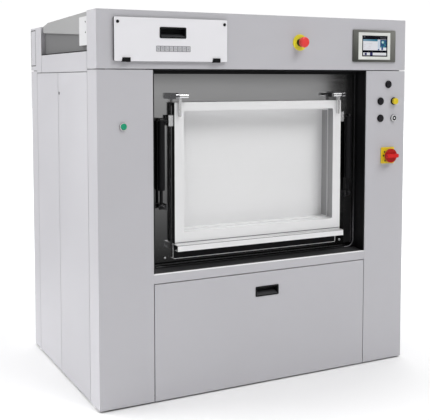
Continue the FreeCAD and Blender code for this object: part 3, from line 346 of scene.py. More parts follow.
def pierced_steel(name, colour, pitch, hole):
    """Rolled sheet with rows of holes painted as near-black spots, for the shade inside them, laid out
    round the drum's axis along x.
    """
    finish, shader, place = new_finish(name, Metallic=1.0)
    centre = place.node("Mapping", sockets={"Vector": place, "Location": (0.0, 0.0, -axis_height)})
    x, y, z = axes(centre)
    round_the_drum = y.maths("ARCTAN2", z, y) * drum_radius
    across = x.maths("PINGPONG", x * (1.0 / pitch), 0.5)
    around = y.maths("PINGPONG", round_the_drum * (1.0 / pitch), 0.5)
    apart = (across ** 2.0 + around ** 2.0) ** 0.5
    outer = (y * y + z * z) ** 0.5 > drum_radius * 0.97
    # The holes are painted near black: painted shade for the dark inside the drum.
    pierced = (apart < hole / pitch) * outer
    lines = streaks(place, (8.0, 400.0, 400.0), 4.0)
    sheet = two_tone(lines, tinted(colour, 0.90), tinted(colour, 1.06))
    feed(shader, "Base Color", two_tone(pierced, sheet, (0.01, 0.01, 0.01, 1.0)))
    feed(shader, "Roughness", lines * 0.12 + pierced * 0.4 + 0.24)
    feed(shader, "Normal", bump(lines * 0.05 - pierced, 0.3, 0.001))
    return finish


drum_low, drum_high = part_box("drum")
axis_height = (drum_low.z + drum_high.z) / 2
drum_radius = (drum_high.z - drum_low.z) / 2
hole_pitch = 0.016
hole_radius = 0.004
drum_steel = pierced_steel("pierced_stainless", (0.66, 0.66, 0.67), hole_pitch, hole_radius)
finished("drum", drum_steel, 0.0006)
finished("drum_door", drum_steel, 0.0006)


# Belt drive
# Cast pulleys on the drum's and the motor's shafts, a plain black belt and a painted motor.

finished("drum_pulley", cast_iron, 0.0015)
finished("motor_pulley", cast_iron, 0.001)
finished("drive_belt", black_rubber, 0.001)
motor_paint = paint("motor_paint", (0.07, 0.10, 0.16), 0.42, 350.0, 0.3)
finished("drive_motor", motor_paint, 0.003)


# Water inlet valves and drain valve
# Brass bodies with screwed stubs under the roof, and a grey moulded valve with its pipe under the tub.

valve_brass = plated("valve_brass", (0.72, 0.53, 0.22), 0.30)
finished("inlet_valves", valve_brass, 0.001)
drain_grey = moulded("drain_grey_plastic", (0.26, 0.26, 0.27), 0.45, 300.0, 0.15)
finished("drain_valve", drain_grey, 0.002)


# Cabinet sheets
# Folded 2 mm steel sheets hung on the frame, with a fine light grey powder coat.

def sort_faces(piece, place_of):
    """Gives each face the finish at its place in the piece's list; True and False are places 1 and 0."""
    for face in piece.data.polygons:
        face.material_index = int(place_of(face))


powder_grey = (0.455, 0.450, 0.475)
cabinet_grey = paint("cabinet_grey_powder_coat", powder_grey, 0.48, 900.0, 0.12)
for sheet in ("front_left_column", "front_right_column", "front_header", "rear_panels"):
    finished(sheet, cabinet_grey, 0.0009)
# The walls of the shallow pocket in the rear header's ends are painted near black: painted shade along its
# outline.
groove_shade = paint("painted_groove_shade", (0.06, 0.06, 0.062), 0.6, 900.0, 0.05)
rear_header = finished("rear_header", [cabinet_grey, groove_shade], 0.0003)
groove_reach = (0.6586, 0.6596)
sort_faces(rear_header, lambda face: groove_reach[0] < abs(face.center.x) < groove_reach[1])
# A near-white painted highlight for the folds and top edges of the sills and the front rims of the tub
# plates.
highlight_white = (0.92, 0.92, 0.93)
highlight_edge = paint("painted_highlight_edge", highlight_white, 0.35, 900.0, 0.05)


def edged_top(name, colour, edge_from):
    """A dark sheet with a painted highlight along its edge at its front and at its rear."""
    finish, shader, place = new_finish(name, Roughness=0.35)
    _, along, _ = axes(place)
    edge = along * along > edge_from * edge_from
    feed(shader, "Base Color", two_tone(edge, tinted(colour, 1.0), tinted(highlight_white, 1.0)))
    return finish


def sill_finish(face):
    """The place of a sill face's finish: painted lip 0, fold with a painted highlight 1, or dark top 2 with
    a painted highlight at its edge.
    """
    if face.normal.z > 0.1 and sill_high.z - face.center.z < sill_edge:
        return 2 if face.normal.z > 0.98 else 1
    return 0


_, sill_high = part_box("sills")
sill_edge = 0.006
lip_fold = 0.0034
sill_top = edged_top("sill_top_sheet", (0.03, 0.03, 0.032), sill_high.y - sill_edge)
# The lip's top fold is painted near white: a painted highlight.
lip_grey = paint("lip_powder_coat", powder_grey, 0.48, 900.0, 0.12, sill_high.z - lip_fold)
sills = finished("sills", [lip_grey, highlight_edge, sill_top], 0.002)
sort_faces(sills, sill_finish)


# Side panels and their locks
# Flat powder-coated sheets; each front one has a flush quarter-turn lock of black plastic near its edge.

def turned(name, start, axis, radius, steps, sides=48):
    """A turned piece: a disc, drawn out along its axis by each step of (advance, new radius)."""
    run = Vector(axis)
    tilt = Vector((0.0, 0.0, 1.0)).rotation_difference(run).to_euler()
    bpy.ops.object.select_all(action="DESELECT")
    bpy.ops.mesh.primitive_circle_add(
        vertices=sides, radius=radius, fill_type="NGON", location=start, rotation=tilt
    )
    piece = bpy.context.active_object
    piece.name = name
    bpy.ops.object.transform_apply(location=True, rotation=True, scale=True)
    bpy.ops.object.mode_set(mode="EDIT")
    bpy.ops.mesh.select_mode(type="FACE")
    bpy.ops.mesh.select_all(action="SELECT")
    centre = Vector(start)
    for advance, new_radius in steps:
        centre = centre + run * advance
        bpy.ops.mesh.extrude_region_move(TRANSFORM_OT_translate={"value": run * advance})
        bpy.ops.transform.resize(value=(new_radius / radius,) * 3, center_override=centre)
        radius = new_radius
    bpy.ops.mesh.select_all(action="SELECT")
    bpy.ops.mesh.normals_make_consistent(inside=False)
    bpy.ops.object.mode_set(mode="OBJECT")
    return piece


deep_black = (0.007, 0.007, 0.008)
black_plastic = moulded("black_plastic", deep_black, 0.46, 900.0, 0.12, Specular_IOR_Level=0.18)
half_width = cad_box[1][0]
lock_place = (0.0175, 1.108)
lock_pocket = 0.0072
lock_radius = 0.0068
lock_depth = 0.0014
lock_steps = [(0.0009, lock_radius), (0.0003, 0.0062), (0.0, 0.0034), (-0.0008, 0.0030)]
cutter_proud = 0.0002
for panels, side in (("left_side_panels", -1.0), ("right_side_panels", 1.0)):
    panel = finished(panels, cabinet_grey, 0.0009)
    face = (side * half_width, *lock_place)
    pocket = turned("lock_pocket", face, (-side, 0.0, 0.0), lock_pocket, [(lock_depth, lock_pocket)])
    pocket.location.x = side * cutter_proud
    apply_modifier(panel, "BOOLEAN", operation="DIFFERENCE", object=pocket, solver="EXACT")
    bpy.data.objects.remove(pocket)
    base = (side * (half_width - lock_depth), *lock_place)
    lock = turned("side_lock_" + panels.split("_")[0], base, (side, 0.0, 0.0), lock_radius, lock_steps)
    break_edges(lock, 0.0)
    dress(lock, black_plastic, "cabinet", "black_plastic")


# Side bays and roof cover
# Darker grey sheets set back under the sloping roof cover, which lies between the two headers.

bay_grey = paint("bay_grey_paint", (0.145, 0.145, 0.148), 0.5, 700.0, 0.12)
roof_grey = paint("roof_grey_paint", (0.30, 0.30, 0.302), 0.5, 700.0, 0.12)
finished("bay_panels", bay_grey)
finished("roof_cover", roof_grey, 0.0009)


# Bare plate in the left bay
# A small white enamelled sheet, screwed to the roof cover's edge behind the front header.

def slab(name, low, high):
    """A block between two corners."""
    size = [top - base for base, top in zip(low, high)]
    middle = [(top + base) / 2 for base, top in zip(low, high)]
    bpy.ops.object.select_all(action="DESELECT")
    bpy.ops.mesh.primitive_cube_add(size=1.0, location=middle, scale=size)
    piece = bpy.context.active_object
    piece.name = name
    bpy.ops.object.transform_apply(location=True, rotation=True, scale=True)
    return piece


def round_corners(piece, axis, radius):
    """Rounds the edges that run along one axis."""
    corners = piece.data.vertices

    def along(edge):
        run = corners[edge.vertices[1]].co - corners[edge.vertices[0]].co
        return abs(run.normalized()[axis]) > 0.99

    choose(piece, "EDGE", along)
    bpy.ops.mesh.bevel(offset=radius, segments=5, affect="EDGES")
    bpy.ops.object.mode_set(mode="OBJECT")


white_enamel = paint("white_enamel", (0.60, 0.60, 0.61), 0.35, 500.0, 0.04)
bay_low = (-0.6545, -0.3275, 1.281)
bay_high = (-0.652, -0.2265, 1.382)
bay_plate = slab("bay_plate", bay_low, bay_high)
round_corners(bay_plate, 0, 0.003)
break_edges(bay_plate, 0.0005)
dress(bay_plate, white_enamel, "cabinet", "flap_paint")
screw_y = -0.298
screw_radius = 0.0030
screw_steps = [(0.0006, screw_radius), (0.0005, 0.0024), (0.0, 0.0013), (-0.0006, 0.0011)]
for name, z in (("upper_bay_screw", 1.363), ("lower_bay_screw", 1.326)):
    screw = turned(name, (bay_low[0], screw_y, z), (-1.0, 0.0, 0.0), screw_radius, screw_steps, 24)
    break_edges(screw, 0.0)
    dress(screw, black_plastic, "cabinet", "black_plastic")


# Shade strips of the bays
# Black rubber strips pressed on the upper edge of the sheet under each bay; they stand in for the dark
# shade line under the bay's edge.

strip_thick = 0.003
strip_tall = 0.0035
strip_reach = (-0.325, 0.263)
strip_foot = 1.259
for name, x in (("left_bay_shade_strip", -half_width), ("right_bay_shade_strip", half_width - strip_thick)):
    low = (x, strip_reach[0], strip_foot)
    high = (x + strip_thick, strip_reach[1], strip_foot + strip_tall)
    shade_strip = slab(name, low, high)
    break_edges(shade_strip, 0.0009)
    dress(shade_strip, black_rubber, "cabinet", "black_rubber")


# Loading openings
# Black moulded liners, and rubber edge trims and door seals round the polished front plates of the tub.

liner_sheen_grey = (0.034, 0.034, 0.035)
# The liner's upward faces are a lighter plastic: a painted sheen where they catch light from above.
sheen_liner_floor = moulded("liner_floor_plastic", liner_sheen_grey, 0.42, 900.0, 0.12, Specular_IOR_Level=0.3)
liner = finished("front_liner", [black_plastic, sheen_liner_floor], 0.0009)
sort_faces(liner, lambda face: face.normal.z > 0.5)
finished("rear_liner", black_plastic, 0.0009)
finished("edge_trims", black_rubber, 0.002)
finished("door_seals", black_rubber, 0.003)


def polished(name, colour, shaded_below):
    """A polished plate: nearly a mirror, with slow waves, faint wipe marks and painted shade over its foot,
    which dims what it mirrors there.
    """
    finish, shader, place = new_finish(name, Metallic=1.0, Anisotropic=0.85)
    wipes = streaks(place, (9.0, 9.0, 60.0), 4.0)
    waves = noise(place, 3.0, 1.0)
    wiped = two_tone(wipes, tinted(colour, 0.94), tinted(colour, 1.04))
    feed(shader, "Base Color", two_tone(axes(place)[2] < shaded_below, wiped, tinted(colour, 0.12)))
    feed(shader, "Roughness", wipes * 0.07 + 0.06)
    feed(shader, "Normal", bump(waves, 0.05, 0.01))
    return finish


# Below this height the plates are painted dark: painted shade that keeps the sill's bright edge out of
# their reflection.
shaded_foot = 0.494
polished_steel = polished("polished_steel", (0.58, 0.58, 0.585), shaded_foot)
rim_proud = 0.009
# Each plate's front rim faces carry the painted highlight.
for node in ("front_tub_plate", "rear_tub_plate"):
    plate = finished(node, [polished_steel, highlight_edge], 0.0004)
    low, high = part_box(node)
    face_y = low.y if low.y < 0.0 else high.y
    sort_faces(
        plate,
        lambda face: abs(face.normal.y) > 0.5 and abs(face.center.y - face_y) < rim_proud / 2,
    )


# Beads of the edge trims
# A glossy round strip of black plastic on the inner edge of each trim, down the sides and along the foot.

def fade(value, start, end):
    """0 below the start, 1 above the end, and a soft step between them."""
    return value.node("MapRange", {"interpolation_type": "SMOOTHSTEP"}, {0: value, 1: start, 2: end})


def strip_black(name, side, low, high):
    """Glossy black plastic, with a painted highlight in grey round the lower right-hand corner."""
    finish, shader, place = new_finish(name, Roughness=0.2)
    across, _, up = axes(place)
    corner_highlight = (across > side) * (1.0 - fade(up, low, high))
    feed(shader, "Base Color", two_tone(corner_highlight, (0.03, 0.03, 0.032, 1.0), (0.30, 0.30, 0.31, 1.0)))
    return finish


def upright_plane(name, middle, width, height):
    """A flat face that stands across y."""
    bpy.ops.object.select_all(action="DESELECT")
    bpy.ops.mesh.primitive_plane_add(size=1.0, location=middle, rotation=(math.radians(90.0), 0.0, 0.0))
    piece = bpy.context.active_object
    piece.name = name
    piece.scale = (width, height, 1.0)
    bpy.ops.object.transform_apply(location=True, rotation=True, scale=True)
    return piece


trim_low, trim_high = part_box("edge_trims")
# The grey round the lower right-hand corner of each bead is a painted highlight.
corner_highlight_width = 0.05
corner_highlight_heights = (trim_low.z + 0.03, trim_low.z + 0.22)
gloss_black = strip_black("gloss_black_strip", trim_high.x - corner_highlight_width, *corner_highlight_heights)
trim_width = 0.006
bead_corner = 0.028
bead_radius = 0.0014
for name, y in (("front_trim_bead", trim_low.y), ("rear_trim_bead", trim_high.y)):
    x = (trim_low.x + trim_width, trim_high.x - trim_width)
    z = (trim_low.z + trim_width / 2, trim_high.z - 2 * trim_width)
    middle = (sum(x) / 2, y, sum(z) / 2)
    bead = upright_plane(name, middle, x[1] - x[0], z[1] - z[0])
    bpy.ops.object.mode_set(mode="EDIT")
    bpy.ops.mesh.delete(type="ONLY_FACE")
    bpy.ops.object.mode_set(mode="OBJECT")
    upper = [vertex.index for vertex in bead.data.vertices if vertex.co.z > middle[2]]
    choose(bead, "EDGE", lambda edge: all(index in upper for index in edge.vertices))
    bpy.ops.mesh.delete(type="EDGE")
    bpy.ops.object.mode_set(mode="OBJECT")
    choose(bead, "VERT", lambda vertex: vertex.co.z < middle[2])
    bpy.ops.mesh.bevel(offset=bead_corner, segments=8, affect="VERTICES")
    bpy.ops.object.mode_set(mode="OBJECT")
    bpy.ops.object.convert(target="CURVE")
    bead.data.bevel_depth = bead_radius
    bead.data.bevel_resolution = 2
    bead.data.use_fill_caps = True
    bpy.ops.object.convert(target="MESH")
    bead = bpy.context.active_object
    break_edges(bead, 0.0)
    dress(bead, gloss_black, "cabinet", "black_rubber")


# Plate bolts
# Small bright dome-headed bolts that hold the lower edge of each tub plate.

bolt_x = (-0.381, 0.394)
bolt_z = 0.509
plate_out = 0.3575
bolt_radius = 0.0045
bolt_steps = [(0.0010, bolt_radius), (0.0009, 0.0040), (0.0007, 0.0028), (0.0, 0.0016), (-0.0010, 0.0014)]
for end, face in (("front", -1.0), ("rear", 1.0)):
    for side, x in zip(("left", "right"), bolt_x):
        start = (x, face * plate_out, bolt_z)
        bolt = turned(f"{end}_{side}_plate_bolt", start, (0.0, face, 0.0), bolt_radius, bolt_steps, 24)
        break_edges(bolt, 0.0)
        dress(bolt, bright_steel, "cabinet", "bright_steel")


# Doors
# Folded pans of fine ground sheet, two steps deep, with a rubber band round the outer edge.
# A channel below the lower rail serves as the handle.

def ground_sheet(name, colour):
    """Fine ground pale sheet: soft lines along x."""
    finish, shader, place = new_finish(name, Metallic=0.15)
    lines = streaks(place, (5.0, 300.0, 900.0), 3.0)
    cloud = noise(place, 3.0, 2.0)
    wear = lines * 0.5 + cloud * 0.5
    feed(shader, "Base Color", two_tone(wear, tinted(colour, 0.96), tinted(colour, 1.03)))
    feed(shader, "Roughness", lines * 0.12 + cloud * 0.05 + 0.32)
    feed(shader, "Normal", bump(lines, 0.04, 0.0002))
    return finish


def shade_lined_sheet(name, colour, *joints):
    """Pale sheet with painted shade lines, each between two distances out along y and between two heights.
    """
    finish = ground_sheet(name, colour)
    shader = finish.node_tree.nodes["Principled BSDF"]
    tone = Shade(finish.node_tree, shader.inputs["Base Color"].links[0].from_socket)
    _, y, z = axes(tone.node("TexCoord", output="Object"))
    for near, far, above, below, shade in joints:
        shade_band = (y * y > near * near) * (y * y < far * far) * (z > above) * (z < below)
        tone = two_tone(shade_band, tone, tinted(colour, shade))
    feed(shader, "Base Color", tone)
    return finish


pale_sheet = (0.78, 0.78, 0.785)
# Each shade line: two distances out along y, two heights and its share of the sheet's tone.
# These are painted shade: along the lower rail, at the top of the pan under the frame, and along the
# handle.
rail_shade_line = (0.3900, 0.4000, 0.5658, 0.5692, 0.25)
pan_shade_line = (0.3600, 0.3912, 1.0425, 1.0480, 0.45)
handle_shade_line = (0.4166, 0.4300, 0.5600, 0.5630, 0.25)
door_sheet = shade_lined_sheet("door_pale_sheet", pale_sheet, rail_shade_line, pan_shade_line)
# The inner side walls of each door's pan are painted a darker grey: painted shade.
wall_shade_grey = ground_sheet("door_wall_painted_shade", (0.34, 0.34, 0.345))
band_reach = 0.001
handle_sheet = shade_lined_sheet("handle_pale_sheet", pale_sheet, handle_shade_line)
for node in ("front_door_handle", "rear_door_handle"):
    finished(node, handle_sheet, 0.0008)
for node in ("front_door", "rear_door"):
    door = finished(node, [door_sheet, wall_shade_grey, black_rubber], 0.0008)
    low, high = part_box(node)
    middle = (low.x + high.x) / 2
    for face in door.data.polygons:
        sideways = abs(face.normal.x) > 0.9
        to_edge = min(face.center.x - low.x, high.x - face.center.x)
        if sideways and face.normal.x * (middle - face.center.x) > 0.0:
            face.material_index = 1
        elif sideways and to_edge < band_reach:
            face.material_index = 2
        elif face.normal.z > 0.9 and high.z - face.center.z < band_reach:
            face.material_index = 2


# Hinge arms, lugs and brackets
# Turned and milled steel, plated, screwed to the doors and to the tub plates.

arm_steel = plated("arm_plated_steel", (0.84, 0.84, 0.85), 0.20, 0.75)
for node in ("front_door_fittings", "rear_door_fittings"):
    finished(node, arm_steel, 0.0012)
finished("door_brackets", plated("bracket_plated_steel", (0.30, 0.30, 0.31), 0.22), 0.0012)


# Gas struts
# Black lacquered cylinders and rods with pressed eyes, on pins at the tub plate and at the door's lugs.

strut_black = moulded("strut_black_lacquer", deep_black, 0.34, 500.0, 0.05, Specular_IOR_Level=0.2)
for node in ("front_strut_rods", "front_strut_cylinders", "rear_strut_rods", "rear_strut_cylinders"):
    finished(node, strut_black, 0.001)


# Lower service panel and its flush pull
# A folded sheet that swings out at its foot, and a moulded cup snapped into its hole.

# The cup's upward faces are painted paler: painted light.
lit_cup_floor = moulded("cup_floor_plastic", (0.045, 0.045, 0.048), 0.40, 900.0, 0.12)


def finished_pull(node):
    """A black cup with a paler floor: painted light on its upward faces."""
    cup = finished(node, [black_plastic, lit_cup_floor], 0.0008)
    sort_faces(cup, lambda face: face.normal.z > 0.5 and face.normal.y < -0.2)


def between_sheets(face):
    """Whether a face lies where two of the panel's flush sheets meet, beside the pull's hole."""
    near_side = min(abs(face.center.x - side) for side in hole_sides) < joint_reach
    return abs(face.normal.x) > 0.99 and near_side and not hole_low < face.center.z < hole_high


cup_low, cup_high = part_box("front_panel_pull")
cup_lip = 0.004
joint_reach = 0.0001
hole_sides = (cup_low.x + cup_lip, cup_high.x - cup_lip)
hole_low, hole_high = cup_low.z + cup_lip, cup_high.z - cup_lip
finished("front_service_panel", cabinet_grey, 0.0009, between_sheets)
finished_pull("front_panel_pull")


# Dispenser flap, pull and hopper
# A white painted flap over a stainless hopper with four bins; the pull is the same moulded cup.

flap_white = paint("flap_white_paint", (0.735, 0.730, 0.755), 0.40, 700.0, 0.08)
flap_side_shade = moulded("flap_side_painted_shade", (0.09, 0.09, 0.093), 0.6, 700.0, 0.1)
# The flap's side faces are painted dark grey: painted shade.
flap = finished("dispenser_flap", [flap_white, flap_side_shade], 0.0012)
sort_faces(flap, lambda face: abs(face.normal.y) < 0.1)
finished_pull("dispenser_pull")
finished("dispenser_hinges", black_plastic, 0.0006)
hopper_steel = rolled_steel("hopper_stainless", (0.60, 0.60, 0.61), 0.32, lines_along_x)
finished("soap_hopper", hopper_steel, 0.0006)


# Hinge covers and studs of the flap
# Black moulded covers over the hinges at the flap's foot, and two black snap studs at its top corners.

flap_y = -0.4385
cover_size = (0.029, 0.0155)
cover_thick = 0.004
cover_foot = 1.221
cover_rim = 0.0022
cover_step = 0.0006
for name, x in (("left_hinge_cover", -0.571), ("right_hinge_cover", -0.225)):
    low = (x, flap_y - cover_thick, cover_foot)
    high = (x + cover_size[0], flap_y, cover_foot + cover_size[1])
    cover = slab(name, low, high)
    choose(cover, "FACE", lambda face: face.normal.y < -0.9)
    bpy.ops.mesh.inset(thickness=cover_rim)
    bpy.ops.mesh.extrude_region_move(TRANSFORM_OT_translate={"value": (0.0, -cover_step, 0.0)})
    bpy.ops.object.mode_set(mode="OBJECT")
    break_edges(cover, 0.0006)
    dress(cover, black_plastic, "dispenser_flap", "black_plastic")
stud_height = 1.358
stud_radius = 0.0055
stud_steps = [(0.0016, stud_radius), (0.0009, 0.0046), (0.0, 0.0026), (-0.0010, 0.0022)]
for name, x in (("left_flap_stud", -0.587), ("right_flap_stud", -0.178)):
    stud = turned(name, (x, flap_y, stud_height), (0.0, -1.0, 0.0), stud_radius, stud_steps, 32)
    break_edges(stud, 0.0)
    dress(stud, black_plastic, "dispenser_flap", "black_plastic")


# Bin markers
# A thin printed strip on the flap: eight outlined fields, each with a plain grey mark.

def field_strip(name, low, high, fields):
    """Outlined fields in a row, with a plain mark in each."""
    finish, shader, place = new_finish(name, Roughness=0.4)
    across, _, up = axes(place)
    pitch = (high[0] - low[0]) / fields
    tall = high[2] - low[2]
    column = ((across - low[0]) * (1.0 / pitch)).wrapped()
    row = (up - low[2]) * (1.0 / tall)
    edge = 0.09
    line = (column < edge) + (column > 1.0 - edge) + (row < edge) + (row > 1.0 - edge) > 0.5
    blot = noise(place, 260.0, 2.0) > 0.52
    mark = (column > 0.28) * (column < 0.72) * (row > 0.25) * (row < 0.75) * blot
    paper = two_tone(noise(place, 30.0), (0.43, 0.43, 0.45, 1.0), (0.49, 0.49, 0.51, 1.0))
    feed(shader, "Base Color", two_tone(line * 0.85 + mark * 0.5, paper, (0.12, 0.12, 0.13, 1.0)))
    return finish


print_thick = 0.0004
marker_fields = 8
strip_low = (-0.446, flap_y - print_thick, 1.258)
strip_high = (-0.314, flap_y, 1.278)
strip = slab("bin_markers", strip_low, strip_high)
round_corners(strip, 1, 0.0012)
printed_fields = field_strip("printed_fields", strip_low, strip_high, marker_fields)
dress(strip, printed_fields, "dispenser_flap", "flap_paint")


# Touch panel
# A satin dark metal frame round a pale moulded bezel with a glossy screen, clamped in the header.

def painted_light_metal(name, low, high, dark, pale):
    """Brushed dark metal with painted light: its tone rises from the lower left to the upper right."""
    finish, shader, place = new_finish(name, Metallic=0.35)
    x, _, z = axes(place)
    across = (x - low.x) * (1.0 / (high.x - low.x))
    up = (z - low.z) * (1.0 / (high.z - low.z))
    lines = streaks(place, (20.0, 300.0, 900.0), 3.0)
    feed(shader, "Base Color", two_tone(across * 0.45 + up * 0.50 + lines * 0.1 - 0.05, dark, pale))
    feed(shader, "Roughness", lines * 0.12 + 0.34)
    feed(shader, "Normal", bump(lines, 0.05, 0.0002))
    return finish


frame_low, frame_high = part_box("hmi_frame")
# The frame is painted lighter towards the upper right: painted light.
metal_dark = (0.055, 0.058, 0.050, 1.0)
metal_lit = (0.30, 0.30, 0.275, 1.0)
panel_dark = painted_light_metal("panel_dark_metal", frame_low, frame_high, metal_dark, metal_lit)
finished("hmi_frame", panel_dark, 0.001)


def lit_screen(name, low, high):
    """A glossy screen with a generic page: a title bar, a list, a picture field and a row of keys."""
    finish, shader, place = new_finish(
        name,
        Base_Color=(0.008, 0.008, 0.010, 1.0),
        Roughness=0.12,
        Specular_IOR_Level=0.15,
        Emission_Strength=0.85,
    )
    x, _, z = axes(place)
    u = (x - low[0]) * (1.0 / (high[0] - low[0]))
    v = (z - low[2]) * (1.0 / (high[2] - low[2]))

    def field(left, right, foot, top):
        return (u > left) * (u < right) * (v > foot) * (v < top)

    blotch = noise(place, 55.0, 2.0)
    page = two_tone(field(0.04, 0.96, 0.30, 0.82), (0.0, 0.0, 0.002, 1.0), (0.80, 0.81, 0.85, 1.0))
    rows = field(0.07, 0.40, 0.34, 0.68) * (((v * 13.0).wrapped() < 0.4) * (blotch > 0.47))
    page = two_tone(rows * 0.35, page, (0.50, 0.42, 0.45, 1.0))
    title = two_tone(u * 1.6, (0.22, 0.36, 0.46, 1.0), (0.02, 0.20, 0.30, 1.0))
    page = two_tone(field(0.04, 0.61, 0.73, 0.82), page, title)
    page = two_tone(field(0.615, 0.70, 0.33, 0.80) * 0.6, page, (0.45, 0.60, 0.75, 1.0))
    scene_low = two_tone(blotch > 0.50, (0.03, 0.08, 0.20, 1.0), (0.05, 0.28, 0.30, 1.0))
    scene_high = two_tone(blotch > 0.62, scene_low, (0.60, 0.72, 0.74, 1.0))
    page = two_tone(field(0.71, 0.96, 0.44, 0.81), page, scene_high)
    signs = field(0.62, 0.68, 0.31, 0.36) + field(0.76, 0.83, 0.32, 0.44)
    page = two_tone(signs, page, (0.03, 0.07, 0.22, 1.0))
    page = two_tone(field(0.05, 0.96, 0.06, 0.19), page, (0.78, 0.79, 0.82, 1.0))
    keys = field(0.10, 0.19, 0.07, 0.18) + field(0.31, 0.42, 0.06, 0.19)
    page = two_tone(keys, page, (0.035, 0.035, 0.13, 1.0))
    ticks = field(0.06, 0.12, 0.91, 0.95) + field(0.72, 0.95, 0.88, 0.92) * ((u * 21.0).wrapped() < 0.6)
    page = two_tone(ticks * 0.5, page, (0.30, 0.32, 0.34, 1.0))
    feed(shader, "Emission Color", page)
    return finish


panel_low, panel_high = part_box("hmi_panel")
left_margin = 0.018
right_margin = 0.014
edge_margin = 0.012
screen_low = (panel_low.x + left_margin, panel_low.y, panel_low.z + edge_margin)
screen_high = (panel_high.x - right_margin, panel_low.y, panel_high.z - edge_margin)
screen_size = (screen_high[0] - screen_low[0], screen_high[2] - screen_low[2])
bezel_side = 0.0125
screen_sunk = 0.0012
bezel = slab("touch_panel", panel_low, panel_high)
choose(bezel, "FACE", lambda face: face.normal.y < -0.9)
bpy.ops.mesh.inset(thickness=bezel_side)
inset_size = [panel_high[axis] - panel_low[axis] - 2 * bezel_side for axis in (0, 2)]
middle = [(screen_low[axis] + screen_high[axis]) / 2 for axis in range(3)]
shift = [middle[axis] - (panel_low[axis] + panel_high[axis]) / 2 for axis in (0, 2)]
bpy.ops.transform.translate(value=(shift[0], 0.0, shift[1]))
bpy.ops.transform.resize(
    value=(screen_size[0] / inset_size[0], 1.0, screen_size[1] / inset_size[1]), center_override=middle
)
bpy.ops.mesh.extrude_region_move(TRANSFORM_OT_translate={"value": (0.0, screen_sunk, 0.0)})
bpy.ops.object.mode_set(mode="OBJECT")
pane = [face.index for face in bezel.data.polygons if face.select]
pale_bezel = moulded("pale_bezel_plastic", (0.66, 0.67, 0.64), 0.40, 600.0, 0.06)
screen_page = lit_screen("lit_screen", screen_low, screen_high)
dress(bezel, [pale_bezel, screen_page], "cabinet", "screen_glass", "hmi_panel")
for index in pane:
    bezel.data.polygons[index].material_index = 1
break_edges(bezel, 0.0005)


# Emergency stops
# A yellow disc with a dark neck round the stem, and a turned red mushroom head on the stem.

def moulded_skin(shader, place, grain):
    """The even gloss and the fine grain of a moulded face."""
    skin = noise(place, grain, 2.0)
    feed(shader, "Roughness", skin * 0.1 + 0.30)
    feed(shader, "Normal", bump(skin, 0.06, 0.0002))


def disc_and_neck(name, colour, neck_from):
    """Yellow on the disc, black on the neck in front of it, on both ends of the machine."""
    finish, shader, place = new_finish(name)
    depth = axes(place)[1]
    neck = (depth * depth) > neck_from * neck_from
    feed(shader, "Base Color", two_tone(neck, tinted(colour, 1.0), (0.012, 0.011, 0.010, 1.0)))
    moulded_skin(shader, place, 400.0)
    return finish


neck_from = 0.4309
collar_finish = disc_and_neck("yellow_disc_black_neck", (0.76, 0.67, 0.035), neck_from)
finished("estop_collars", collar_finish, 0.001)
red_plastic = moulded("red_plastic", (0.70, 0.045, 0.04), 0.30, 500.0, 0.06)
stem_radius = 0.0107
mushroom = [
    (0.0470, stem_radius),
    (0.0004, 0.0150),
    (0.0016, 0.0186),
    (0.0020, 0.0198),
    (0.0080, 0.0200),
    (0.0030, 0.0194),
    (0.0018, 0.0176),
    (0.0010, 0.0150),
    (0.0002, 0.0130),
    (-0.0004, 0.0110),
]
for node, face in (("front_estop_button", -1.0), ("rear_estop_button", 1.0)):
    low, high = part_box(node)
    start = ((low.x + high.x) / 2, low.y if face > 0.0 else high.y, (low.z + high.z) / 2)
    head = turned("mushroom_" + node, start, (0.0, face, 0.0), stem_radius, mushroom, 64)
    break_edges(head, 0.0)
    dress(head, red_plastic, carrier[node], "red_plastic", node)


# Push-buttons and key switch
# Turned caps in ring bezels: plated rings for the green button and the key switch, black for the others.

green_plastic = moulded("green_plastic", (0.008, 0.27, 0.14), 0.22, 500.0, 0.04)
nickel = plated("nickel_plated_ring", (0.95, 0.95, 0.96), 0.16, 0.55)
# The plated bezels' edges are painted dark: painted shade round each ring.
nickel_shade_edge = plated("nickel_edge_painted_shade", (0.15, 0.15, 0.155), 0.25)
bezels = finished("button_bezels", [nickel, black_plastic, nickel_shade_edge], 0.0014)
key_low, key_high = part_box("key_switch")
ring_reach = 0.01


def ring_finish(face):
    """The place of a bezel face's finish: plated front 0, black ring 1 or edge in painted shade 2."""
    by_key = face.center.x > key_low.x - ring_reach and face.center.z < key_high.z + ring_reach
    if by_key or face.center.x < 0.0:
        return 0 if face.normal.y < -0.9 else 2
    return 1


sort_faces(bezels, ring_finish)
cap_stem_radius = 0.0080
cap_stem_length = 0.0260
cap_rim = 0.0012
cap_crown = 0.0008


def push_cap(node, finish, dome, head=0.0, flare=0.0):
    """A cap on its stem: a rounded rim, a slightly domed face and, on a tall one, a wider head."""
    low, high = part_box(node)
    start = ((low.x + high.x) / 2, high.y, (low.z + high.z) / 2)
    radius = (high.x - low.x) / 2
    reach = high.y - low.y - cap_stem_length
    steps = [
        (cap_stem_length, cap_stem_radius),
        (0.0, radius),
        (reach - cap_rim - cap_crown - head, radius),
    ]
    radius = radius + flare
    steps += [
        (0.0, radius),
        (head, radius),
        (cap_rim, radius * 0.97),
        (cap_crown - dome, radius * 0.86),
        (dome / 2, radius * 0.5),
        (dome / 2, radius * 0.15),
    ]
    cap = turned("cap_" + node, start, (0.0, -1.0, 0.0), cap_stem_radius, steps, 48)
    break_edges(cap, 0.0)
    dress(cap, finish, carrier[node], slot_of[node], node)


